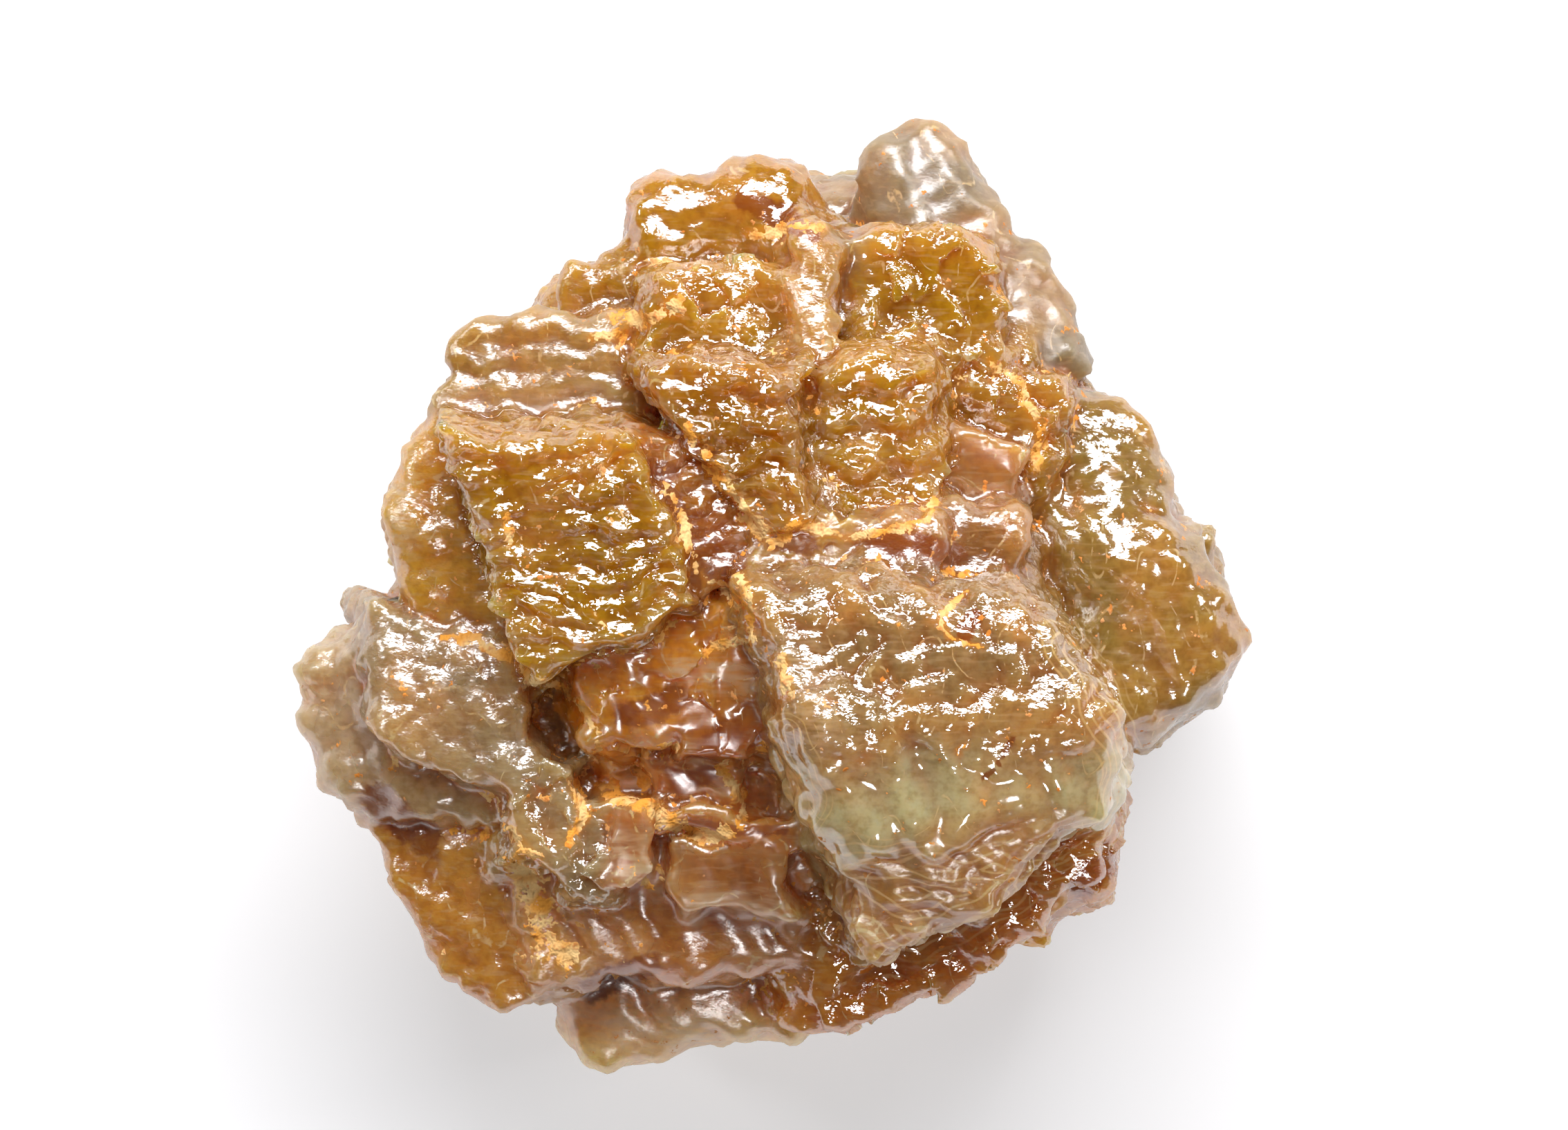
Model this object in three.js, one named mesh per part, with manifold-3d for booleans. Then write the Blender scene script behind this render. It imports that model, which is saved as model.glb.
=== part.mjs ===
// Rough diamond: one stone of stubby cuboid crystals that grew into each other.
// Millimetres, +Z up. The stone rests on the flat face of its lowest crystal, at Z = 0.
import * as THREE from "three";
import { mergeVertices } from "three/addons/utils/BufferGeometryUtils.js";
import Module from "manifold-3d";

const wasm = await Module();
wasm.setup();

// Driving dimensions
const STONE_CENTRE = [0.06, -0.02]; // middle of the stone's box in the plan the crystals are laid out in
const FLAT_BELOW = 0.5; // under this height the crystal faces carry no relief
const KNOB_PITCH = 1.15; // rounded growth knobs, crest to crest
const KNOB_HEIGHT = 0.07;
const KNOB_SWAY = [1.3, 1.7]; // how far the rows of knobs bend from straight, radians
const KNOB_CLIMB = 0.6; // the knobs' shift down the sides, for each millimetre of height
const RIDGE_HEIGHT = 0.09; // growth ridges, trough to crest
const RIDGE_SKEW = 0.7; // share of a ridge's pitch that climbs
const RIDGE_SLANT = [-0.2, 0.5]; // the ridges' shift along X and with height, for each millimetre
const RIDGE_WANDER = [{ reach: 0.25, turn: 1.9, start: 0 }, { reach: 0.1, turn: 4.3, start: 1 }];
const PIT_SIZE = 0.22; // three-sided pits on the amber crystal
const PIT_TILT = 0.6;
const USUAL_GRID = [4, 4, 3];
const ROUND_LIMIT = 0.9; // the most of a half side that its rounded edge may take
const SMALL = 1e-4;

// Each crystal is a leaning block. "face" holds the plan corners of its upper face, in the order
// far-left, far-right, near-right, near-left. "height" is the face's level at its middle, "slope" its
// rise towards +X and +Y. "lean" is how far the far, right, near and left sides run outwards for each
// millimetre down, "depth" is the block's height and "round" the radius of its edges. "ridges" is the
// pitch of the growth ridges that cross it. "grid" is how many steps its faces are divided in.
const UPPER_CRYSTALS = [
  {
    name: "left cube", face: [[-4.15, 2.12], [-1.78, 2.02], [-0.92, -0.08], [-3.05, -0.98]],
    height: 8.5, slope: [0.04, 0.18], lean: [0.12, 0.1, 0.08, 0], depth: 3.5, round: 0.12,
    ridges: 0.33, grid: [4, 27, 2],
  },
  {
    name: "red wedge", face: [[-1.75, 1.95], [-0.42, 1.05], [-0.42, 0.15], [-1.05, -0.05]],
    height: 8.2, slope: [-0.32, 0.1], lean: [0.1, 0.1, 0.1, 0.1], depth: 3, round: 0.08,
  },
  {
    name: "middle cube", face: [[-1.68, 2.92], [0.28, 2.98], [0.32, 0.95], [-1.15, 1.0]],
    height: 8.5, slope: [-0.03, 0.14], lean: [0.12, 0.2, 0.1, 0.05], depth: 3.5, round: 0.12,
    ridges: 0.42, grid: [4, 15, 2],
  },
  {
    name: "right cube", face: [[0.62, 3.08], [2.02, 3.05], [2.02, 1.1], [0.62, 0.95]],
    height: 7.8, slope: [-0.15, 0.12], lean: [0.12, 0.15, 0.1, 0.1], depth: 3.5, round: 0.25,
    ridges: 0.52, grid: [4, 12, 2],
  },
  {
    name: "ledge", face: [[-1.62, 4.15], [0.42, 4.2], [0.5, 3.0], [-1.6, 2.95]],
    height: 7.3, slope: [0.02, -0.1], lean: [0.05, 0.1, 0.1, 0.1], depth: 3, round: 0.12,
  },
  {
    name: "pale facet", face: [[0.5, 4.65], [0.98, 4.6], [0.98, 3.9], [0.5, 3.95]],
    height: 7.0, slope: [-0.1, 0.3], lean: [0.1, 0.1, 0.1, 0.1], depth: 2, round: 0.05, grid: [2, 2, 2],
  },
  {
    name: "upper right crystal", face: [[0.95, 4.75], [2.8, 4.6], [3.05, 2.95], [0.98, 2.9]],
    height: 6.9, slope: [-0.2, 0.05], lean: [-0.05, -0.05, 0.1, 0.1], depth: 3, round: 0.3,
  },
  {
    name: "upper left knob", face: [[-1.95, 5.5], [0.62, 5.72], [0.62, 4.1], [-2.12, 4.15]],
    height: 6.4, slope: [-0.04, -0.1], lean: [-0.2, 0, 0.1, -0.15], depth: 3.2, round: 0.4,
  },
  {
    name: "upper left step", face: [[-2.7, 4.25], [-1.5, 4.6], [-1.4, 3.1], [-2.7, 3.4]],
    height: 6.2, slope: [0.1, -0.1], lean: [-0.1, 0.1, 0.1, -0.15], depth: 3, round: 0.2, grid: [4, 4, 2],
  },
  {
    name: "left shoulder", face: [[-4.0, 3.5], [-1.8, 3.75], [-1.6, 1.95], [-4.55, 2.05]],
    height: 6.8, slope: [0.1, -0.12], lean: [-0.1, 0.1, 0.1, -0.2], depth: 3, round: 0.25,
  },
  {
    name: "far right crystal", face: [[0.95, 5.75], [2.2, 6.3], [4.3, 2.95], [2.2, 2.4]],
    height: 5.9, slope: [-0.1, -0.15], lean: [-0.2, -0.15, 0.1, 0.1], depth: 3.4, round: 0.5,
  },
  {
    name: "notch floor", face: [[2.0, 3.0], [3.7, 2.85], [3.5, 1.1], [2.0, 1.1]],
    height: 6.4, slope: [-0.1, 0.1], lean: [0, 0, 0.1, 0.1], depth: 2.5, round: 0.2,
  },
  {
    name: "flat facet", face: [[2.2, 2.1], [3.08, 2.0], [3.08, 1.4], [2.2, 1.42]],
    height: 7.0, slope: [-0.1, 0.15], lean: [0.1, 0.1, 0.1, 0.1], depth: 2.5, round: 0.05, grid: [2, 2, 2],
  },
  {
    name: "amber crystal", face: [[3.1, 1.2], [5.25, 1.5], [6.32, -0.85], [4.25, -2.35]],
    height: 6.2, slope: [-0.15, 0.05], lean: [0.1, -0.2, -0.15, 0.1], depth: 3.6, round: 0.4,
  },
  {
    name: "amber crystal's shoulder", face: [[3.5, 2.75], [4.6, 2.42], [5.1, 1.2], [3.1, 1.0]],
    height: 5.9, slope: [-0.1, -0.45], lean: [0, 0, 0.1, 0.1], depth: 3, round: 0.25,
  },
  {
    name: "left knob of the middle ledge", face: [[0.98, 1.0], [2.05, 1.12], [2.1, 0.25], [0.95, 0.3]],
    height: 8.2, slope: [0, 0.1], lean: [0.1, 0.1, 0.1, 0.1], depth: 3, round: 0.2, grid: [4, 4, 2],
  },
  {
    name: "right knob of the middle ledge", face: [[2.0, 1.2], [3.15, 1.25], [3.2, 0], [2.05, 0.1]],
    height: 7.6, slope: [-0.1, 0.1], lean: [0.1, 0.1, 0.1, 0.1], depth: 3, round: 0.2, grid: [4, 4, 2],
  },
  {
    name: "clear crystal's far face", face: [[-0.45, 0.4], [3.25, 0.15], [4.3, -1.8], [0.15, -1.9]],
    height: 9.0, slope: [-0.03, -0.18], lean: [0.15, 0, 0.1, 0.1], depth: 4.5, round: 0.35, grid: [7, 5, 3],
  },
  {
    name: "clear crystal's near face", face: [[0.05, -1.0], [4.1, -1.2], [4.45, -3.3], [0.75, -3.4]],
    height: 8.8, slope: [-0.05, 0.22], lean: [0.1, -0.03, 0.02, 0.15], depth: 4.5, round: 0.45,
    grid: [7, 6, 3],
  },
  {
    name: "clear crystal's point", face: [[0.6, -2.8], [3.0, -3.0], [2.15, -4.1], [1.15, -4.5]],
    height: 8.1, slope: [-0.02, 0.4], lean: [0.1, 0.05, 0, 0.1], depth: 3.5, round: 0.25,
  },
  {
    name: "lower left crystal", face: [[-5.25, 0.1], [-3.2, -0.4], [-2.85, -2.5], [-4.9, -1.9]],
    height: 6.9, slope: [0.08, -0.1], lean: [0, 0.1, 0.1, 0.05], depth: 3, round: 0.3,
  },
  {
    name: "lower left crystal's flank", face: [[-6.2, -0.4], [-4.2, -0.3], [-3.2, -2.9], [-5.7, -2.8]],
    height: 6.1, slope: [0.3, 0.15], lean: [-0.15, 0.1, -0.1, -0.2], depth: 3, round: 0.5,
  },
  {
    name: "left silver shard", face: [[-3.35, -2.0], [-2.6, -2.1], [-2.5, -3.3], [-3.35, -3.3]],
    height: 7.0, slope: [0.1, 0.1], lean: [0.1, 0.1, 0.1, 0.1], depth: 2.5, round: 0.08, grid: [2, 3, 2],
  },
  {
    name: "right silver shard", face: [[-2.65, -2.4], [-1.95, -2.5], [-1.9, -3.6], [-2.6, -3.85]],
    height: 6.8, slope: [0.1, 0.2], lean: [0.1, 0.1, 0.1, 0.1], depth: 2.5, round: 0.08, grid: [2, 3, 2],
  },
  {
    name: "orange knobs", face: [[-5.5, -2.6], [-3.4, -2.8], [-3.0, -5.15], [-4.05, -5.1]],
    height: 5.6, slope: [0.3, 0.15], lean: [0, 0.1, -0.15, -0.25], depth: 3.4, round: 0.35,
  },
  {
    name: "near block", face: [[-3.1, -4.3], [0.4, -4.2], [0.5, -5.65], [-2.7, -6.15]],
    height: 4.7, slope: [0.02, 0.25], lean: [0.1, 0.1, -0.25, -0.15], depth: 3.2, round: 0.35,
  },
  {
    name: "near right block", face: [[0, -3.6], [2.3, -3.4], [2.6, -4.95], [0.1, -5.6]],
    height: 5.8, slope: [0.02, 0.3], lean: [0.1, 0.1, -0.2, 0.1], depth: 3.4, round: 0.3,
  },
  {
    name: "right block", face: [[2.0, -3.0], [4.3, -2.5], [4.25, -3.55], [2.15, -4.95]],
    height: 6.2, slope: [0.05, 0.3], lean: [0.1, -0.15, -0.2, 0.1], depth: 3.4, round: 0.3,
  },
  {
    name: "orange block", face: [[-2.55, -0.5], [-0.4, -0.1], [-0.3, -1.3], [-2.3, -2.0]],
    height: 7.3, slope: [0.05, 0.2], lean: [0.1, 0.1, 0.1, 0.1], depth: 3, round: 0.2,
  },
  {
    name: "orange facet", face: [[-1.2, -0.75], [-0.25, -0.75], [-0.2, -1.95], [-1.15, -1.9]],
    height: 7.55, slope: [0.1, 0.2], lean: [0.1, 0.1, 0.1, 0.1], depth: 3, round: 0.06, grid: [2, 3, 2],
  },
  {
    name: "cleft floor", face: [[-2.3, -1.9], [0.5, -1.9], [0.6, -3.4], [-2.2, -3.4]],
    height: 6.4, slope: [0, 0.1], lean: [0.1, 0.1, 0.1, 0.1], depth: 3, round: 0.2, grid: [2, 3, 2],
  },
  {
    name: "brown blade", face: [[-1.5, -2.62], [0.3, -2.72], [0.3, -3.0], [-1.4, -2.9]],
    height: 6.9, slope: [0, 0.2], lean: [0.1, 0.1, 0.1, 0.1], depth: 2, round: 0.05, grid: [4, 1, 2],
  },
  {
    name: "tall shard", face: [[-2.05, -2.5], [-1.6, -2.45], [-1.55, -3.4], [-2.0, -3.45]],
    height: 7.1, slope: [0.2, 0.2], lean: [0.1, 0.1, 0.1, 0.1], depth: 2, round: 0.05, grid: [2, 3, 2],
  },
  {
    name: "smooth shard", face: [[-1.3, -3.1], [0.15, -3.05], [0.3, -3.95], [-1.15, -3.85]],
    height: 6.7, slope: [0.05, 0.3], lean: [0.1, 0.1, 0.1, 0.1], depth: 2, round: 0.06, grid: [3, 2, 2],
  },
  {
    name: "brown shard", face: [[-1.6, -1.9], [-0.5, -1.9], [-0.45, -2.5], [-1.6, -2.5]],
    height: 6.8, slope: [0.05, 0.3], lean: [0.1, 0.1, 0.1, 0.1], depth: 2, round: 0.06, grid: [3, 2, 2],
  },
  {
    name: "clay-filled step", face: [[-3.3, -3.3], [-2.2, -3.6], [-2.3, -4.9], [-3.15, -4.85]],
    height: 5.9, slope: [0.1, 0.25], lean: [0.1, 0.1, 0.1, 0.1], depth: 2.5, round: 0.2, grid: [3, 4, 3],
  },
  {
    name: "brown step", face: [[-2.5, -3.4], [0.4, -3.5], [0.4, -4.7], [-2.5, -4.7]],
    height: 6.0, slope: [0, 0.3], lean: [0.1, 0.1, 0.1, 0.1], depth: 2.5, round: 0.25,
  },
  {
    name: "far knob of the left edge", face: [[-4.65, 2.15], [-3.9, 2.2], [-3.7, 0.7], [-4.9, 0.85]],
    height: 6.9, slope: [0.2, -0.05], lean: [0, 0.1, 0.1, -0.15], depth: 3, round: 0.3, grid: [4, 4, 2],
  },
  {
    name: "near knob of the left edge", face: [[-4.85, 1.1], [-3.7, 1.1], [-3.0, -0.5], [-4.75, -0.1]],
    height: 6.8, slope: [0.2, 0.1], lean: [0, 0.1, 0.1, -0.15], depth: 3, round: 0.3, grid: [4, 4, 2],
  },
];

// The crystals round the waist of the stone, under the overhang of the upper ones
const WAIST_CRYSTALS = [
  {
    name: "left waist crystal", face: [[-4.8, 1.4], [-3.6, 1.9], [-3.4, 0.2], [-4.7, 0.05]],
    height: 4.9, slope: [0.5, 0.1], lean: [-0.1, 0, -0.1, 0.1], depth: 2.6, round: 0.25,
  },
  {
    name: "far left waist crystal", face: [[-3.2, 3.7], [-1.4, 4.5], [-0.9, 3.0], [-3.0, 2.4]],
    height: 4.3, slope: [0.1, -0.5], lean: [0.12, 0, 0, -0.1], depth: 2.4, round: 0.25,
  },
  {
    name: "far waist crystal", face: [[0.2, 5.3], [2.3, 5.6], [2.5, 3.6], [0.4, 3.4]],
    height: 4.2, slope: [0, -0.4], lean: [0.08, -0.1, 0, 0], depth: 2.2, round: 0.3,
  },
  {
    name: "right waist crystal", face: [[4.0, 1.4], [5.6, 0.9], [5.85, -0.9], [4.2, -0.8]],
    height: 4.4, slope: [-0.4, 0], lean: [-0.1, 0.05, -0.1, 0], depth: 2.4, round: 0.25,
  },
  {
    name: "near right waist crystal", face: [[2.4, -2.6], [4.4, -2.3], [4.2, -3.8], [2.3, -4.3]],
    height: 4.6, slope: [-0.1, 0.4], lean: [0, 0.05, 0.1, 0], depth: 2.4, round: 0.25,
  },
  {
    name: "near waist crystal", face: [[-2.2, -3.6], [-0.2, -3.4], [-0.3, -5.4], [-2.4, -5.5]],
    height: 3.6, slope: [0, 0.4], lean: [0, -0.1, 0.05, -0.1], depth: 2, round: 0.25,
  },
  {
    name: "near left waist crystal", face: [[-4.9, -2.2], [-3.2, -2.4], [-3.0, -4.7], [-4.5, -4.2]],
    height: 4.35, slope: [0.4, 0.2], lean: [0, 0, 0.05, 0.05], depth: 2.4, round: 0.25,
  },
];

// The crystals of the underside hang from the middle of the stone, so only their sides and lower
// faces show. The foot has the flat face that the stone rests on.
const LOWER_CRYSTALS = [
  {
    name: "foot", face: [[-2.2, 3.3], [3.3, 1.9], [2.5, -3.2], [-2.9, -2.3]],
    height: 4.2, slope: [0, 0], lean: [-0.12, -0.1, -0.14, -0.1], depth: 4.2, round: 0.15,
  },
  {
    name: "heart", face: [[-3.7, 3.3], [3.3, 3.5], [3.6, -3.0], [-3.6, -3.4]],
    height: 6.2, slope: [0, 0], lean: [-0.05, -0.05, -0.05, -0.05], depth: 4.6, round: 0.3, grid: [2, 2, 2],
  },
  {
    name: "left hanging crystal", face: [[-4.7, 1.4], [-2.4, 1.8], [-2.0, -1.2], [-4.9, -1.5]],
    height: 5.0, slope: [-0.35, 0.05], lean: [-0.05, 0, -0.05, -0.1], depth: 4.3, round: 0.35,
  },
  {
    name: "far left hanging crystal", face: [[-3.9, 3.3], [-1.0, 4.3], [-0.4, 1.8], [-3.2, 1.0]],
    height: 4.8, slope: [-0.2, 0.3], lean: [-0.1, 0, 0, -0.1], depth: 3.95, round: 0.3,
  },
  {
    name: "far hanging crystal", face: [[-0.7, 4.7], [2.2, 5.1], [2.6, 2.2], [-0.3, 2.0]],
    height: 4.6, slope: [0.05, 0.35], lean: [-0.1, -0.05, 0, -0.05], depth: 3.9, round: 0.3,
  },
  {
    name: "far right hanging crystal", face: [[2.0, 3.9], [4.2, 2.7], [4.7, 0.2], [2.2, 0.6]],
    height: 4.6, slope: [0.3, 0.2], lean: [-0.1, -0.1, 0, 0], depth: 3.75, round: 0.3,
  },
  {
    name: "right hanging crystal", face: [[3.0, 1.2], [5.4, 0.6], [5.0, -2.0], [2.8, -1.6]],
    height: 4.6, slope: [0.35, -0.05], lean: [0, -0.15, -0.1, 0], depth: 3.95, round: 0.35,
  },
  {
    name: "near right hanging crystal", face: [[1.2, -1.8], [3.9, -2.0], [3.6, -4.1], [1.0, -4.6]],
    height: 4.6, slope: [0.15, -0.3], lean: [0, -0.1, -0.1, 0], depth: 3.8, round: 0.3,
  },
  {
    name: "near hanging crystal", face: [[-2.3, -2.4], [0.9, -2.2], [0.8, -5.0], [-1.9, -5.3]],
    height: 4.2, slope: [0, -0.3], lean: [0, -0.05, -0.1, -0.05], depth: 3.5, round: 0.35,
  },
  {
    name: "near left hanging crystal", face: [[-4.8, -1.4], [-2.2, -1.6], [-2.2, -4.4], [-4.2, -4.3]],
    height: 4.7, slope: [-0.3, -0.25], lean: [0, 0, -0.1, -0.1], depth: 3.8, round: 0.3,
  },
];

// Plan places of the three-sided pits on the amber crystal
const PITS = [[4.25, 0.35], [4.85, 0.75], [4.75, -0.25], [5.3, 0.1], [4.35, -0.75], [5.15, -0.75]];

const SIDES = [[0, 1], [1, 2], [2, 3], [3, 0]]; // the corners that the far, right, near and left sides join

function faceLevel(crystal, x, y) {
  const middleX = crystal.face.reduce((sum, corner) => sum + corner[0], 0) / 4;
  const middleY = crystal.face.reduce((sum, corner) => sum + corner[1], 0) / 4;
  return crystal.height + (x - middleX) * crystal.slope[0] + (y - middleY) * crystal.slope[1];
}

// The upper and lower four corners of a crystal's leaning block
function blockCorners(crystal) {
  const upper = crystal.face.map(([x, y]) => new THREE.Vector3(x, y, faceLevel(crystal, x, y)));
  const lower = upper.map((corner) => corner.clone().add(new THREE.Vector3(0, 0, -crystal.depth)));
  SIDES.forEach(([from, to], side) => {
    const along = new THREE.Vector2(...crystal.face[to]).sub(new THREE.Vector2(...crystal.face[from]));
    const outward = new THREE.Vector2(-along.y, along.x).normalize();
    const run = crystal.lean[side] * crystal.depth;
    for (const corner of [lower[from], lower[to]]) {
      corner.x += outward.x * run;
      corner.y += outward.y * run;
    }
  });
  return { upper, lower };
}

// The point of a leaning block at u, v, w, each from -1 to 1, along its left-right, near-far and height
function blockPoint({ upper, lower }, u, v, w) {
  const right = (1 + u) / 2;
  const far = (1 + v) / 2;
  const across = (corners) => {
    const farEdge = corners[0].clone().lerp(corners[1], right);
    const nearEdge = corners[3].clone().lerp(corners[2], right);
    return nearEdge.lerp(farEdge, far);
  };
  return across(lower).lerp(across(upper), (1 + w) / 2);
}

// The outermost step of a grid is the rounded edge, and the others share the flat part of the face
function gridPlace(step, steps, flat) {
  const lastInner = 1 - 2 / steps;
  return Math.abs(step) > lastInner + SMALL ? Math.sign(step) : (step / Math.max(lastInner, SMALL)) * flat;
}

function growthRelief(crystal, point) {
  if (point.z < FLAT_BELOW) {
    return 0;
  }
  if (crystal.ridges) {
    const wander = RIDGE_WANDER.reduce((sum, wave) => {
      return sum + wave.reach * Math.sin(wave.turn * point.x + wave.start);
    }, 0);
    const across = point.y + RIDGE_SLANT[0] * point.x + RIDGE_SLANT[1] * point.z;
    const phase = across / crystal.ridges + wander;
    const part = phase - Math.floor(phase);
    const climb = part < RIDGE_SKEW ? part / RIDGE_SKEW : (1 - part) / (1 - RIDGE_SKEW);
    return RIDGE_HEIGHT * (climb - 0.5);
  }
  const turn = (2 * Math.PI) / KNOB_PITCH;
  const acrossKnobs = Math.sin(turn * point.x + KNOB_SWAY[0] * Math.sin(point.y + point.z));
  const alongKnobs = Math.sin(turn * (point.y + KNOB_CLIMB * point.z) + KNOB_SWAY[1] * Math.sin(point.x));
  return KNOB_HEIGHT * acrossKnobs * alongKnobs;
}

function crystalGeometry(crystal) {
  const grid = crystal.grid ?? USUAL_GRID;
  const geometry = new THREE.BoxGeometry(2, 2, 2, ...grid);
  const corners = blockCorners(crystal);
  const middle = blockPoint(corners, 0, 0, 0);
  const spans = [
    blockPoint(corners, 1, 0, 0).sub(middle),
    blockPoint(corners, 0, 1, 0).sub(middle),
    blockPoint(corners, 0, 0, 1).sub(middle),
  ];
  const flats = spans.map((span) => 1 - Math.min(crystal.round / span.length(), ROUND_LIMIT));
  const position = geometry.attributes.position;
  for (let i = 0; i < position.count; i += 1) {
    const steps = [position.getX(i), position.getY(i), position.getZ(i)];
    const unit = steps.map((step, axis) => gridPlace(step, grid[axis], flats[axis]));
    const past = unit.map((value, axis) => Math.max(Math.abs(value) - flats[axis], 0) / (1 - flats[axis]));
    const reach = Math.hypot(...past);
    const inset = unit.map((value, axis) => {
      const kept = Math.min(Math.abs(value), flats[axis]) + (1 - flats[axis]) * (past[axis] / reach);
      return Math.sign(value) * kept;
    });
    const point = blockPoint(corners, ...inset);
    const outward = new THREE.Vector3();
    spans.forEach((span, axis) => {
      outward.addScaledVector(span.clone().normalize(), Math.sign(unit[axis]) * past[axis]);
    });
    point.addScaledVector(outward.normalize(), growthRelief(crystal, point));
    position.setXYZ(i, point.x - STONE_CENTRE[0], point.y - STONE_CENTRE[1], point.z);
  }
  return geometry;
}

function pitGeometry([x, y]) {
  const amber = UPPER_CRYSTALS.find((crystal) => crystal.name === "amber crystal");
  const geometry = new THREE.TetrahedronGeometry(PIT_SIZE);
  geometry.rotateX(PIT_TILT);
  geometry.rotateZ(x + y);
  geometry.translate(x - STONE_CENTRE[0], y - STONE_CENTRE[1], faceLevel(amber, x, y));
  return geometry;
}

function solidFrom(geometry) {
  geometry.deleteAttribute("normal");
  geometry.deleteAttribute("uv");
  const merged = mergeVertices(geometry, SMALL);
  const vertProperties = new Float32Array(merged.attributes.position.array);
  const triVerts = new Uint32Array(merged.index.array);
  return new wasm.Manifold(new wasm.Mesh({ numProp: 3, vertProperties, triVerts }));
}

function geometryFrom(solid) {
  const mesh = solid.getMesh();
  const geometry = new THREE.BufferGeometry();
  geometry.setAttribute("position", new THREE.BufferAttribute(mesh.vertProperties, 3));
  geometry.setIndex(new THREE.BufferAttribute(mesh.triVerts, 1));
  geometry.computeVertexNormals();
  return geometry;
}

const crystals = [...LOWER_CRYSTALS, ...WAIST_CRYSTALS, ...UPPER_CRYSTALS];
const solids = crystals.map((crystal) => solidFrom(crystalGeometry(crystal)));
const grown = solids.reduce((joined, solid) => joined.add(solid));
const pitted = PITS.reduce((joined, pit) => joined.subtract(solidFrom(pitGeometry(pit))), grown);

const amberDiamond = new THREE.MeshStandardMaterial({ color: 0xa8783c, roughness: 0.25, metalness: 0 });
const stone = new THREE.Mesh(geometryFrom(pitted), amberDiamond);
stone.name = "rough_diamond";

const part = new THREE.Group();
part.add(stone);

export default part;
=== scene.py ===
from collections import namedtuple

import bpy
import numpy as np
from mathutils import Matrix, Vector


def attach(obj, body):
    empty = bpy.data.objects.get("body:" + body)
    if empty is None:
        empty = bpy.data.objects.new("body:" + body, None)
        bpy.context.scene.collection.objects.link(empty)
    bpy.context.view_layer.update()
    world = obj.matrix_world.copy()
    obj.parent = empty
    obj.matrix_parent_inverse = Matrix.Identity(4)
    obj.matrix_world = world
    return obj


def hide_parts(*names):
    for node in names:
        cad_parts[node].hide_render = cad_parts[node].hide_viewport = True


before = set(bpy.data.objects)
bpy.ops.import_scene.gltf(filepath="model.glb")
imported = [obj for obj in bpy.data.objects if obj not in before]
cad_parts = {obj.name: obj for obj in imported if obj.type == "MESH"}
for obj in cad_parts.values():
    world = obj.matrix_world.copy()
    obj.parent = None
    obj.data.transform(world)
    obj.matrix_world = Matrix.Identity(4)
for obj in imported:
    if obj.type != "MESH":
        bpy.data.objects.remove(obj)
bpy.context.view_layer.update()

# Everything about the stone is worked out in millimetres and turned to metres where its mesh is made.
MM = 0.001
STONE_CENTRE = (0.06, -0.02, 0)  # middle of the stone in the plan that its crystals are laid out in
GRID_STEP = 0.14
GRID_LOW, GRID_HIGH = np.array([-6.75, -6.75, -0.27]), np.array([6.9, 6.75, 9.9])
SEAM_BLEND = 0.18    # how softly one crystal runs into the next
WINDOW_BLEND = 0.45  # and how softly the clear crystal's window does
CLEFT_BLEND = 0.3    # the stone with seams this soft is what a cleft's depth is measured from
COLOUR_BLEND = 0.05  # how far one crystal's colour and finish run into the next one's
FINE_ABOVE = 3.6     # faces that look up and lie above this level are made finer
UPPER_SIDE = 3.2     # and the listed marks begin at this one
FINEST = 11000       # how many of the most bent triangles are made finer still
LONGEST_MOVE, FURTHEST = 0.05, 0.09  # how far a point of the net settles in one round, and in all
RIDGE_CLIMB = 0.6    # the share of each growth ridge's width that its near slope takes
EDGE_WIDTH = 0.3     # how far the frosting of a crystal's edges reaches onto its faces
RELIEF_REACH = 0.35  # relief is worked out only this near a crystal's face
SMOOTHINGS = 12      # rounds of smoothing that leave the stone without its crests and hollows
BULGE = 0.08         # how far a full crest stands out of the smoothed stone, or a hollow goes into it
OWN_SALT = 31        # each crystal's relief is scattered by its number times this
DIAMOND_IOR = 2.417

# A crystal is a leaning block: the plan corners of its upper face (far-left, far-right, near-right,
# near-left), the face's level at its middle, its rise towards +X and +Y, how far the far, right, near
# and left sides run outwards for each millimetre down, the block's depth, the radius of its edges,
# the relief on its faces and its colour.
Crystal = namedtuple("Crystal", "name face height slope lean depth round skin tint")

SPREAD = (0.1, 0.1, 0.1, 0.1)  # a lean in which all four sides run outwards alike

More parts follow.
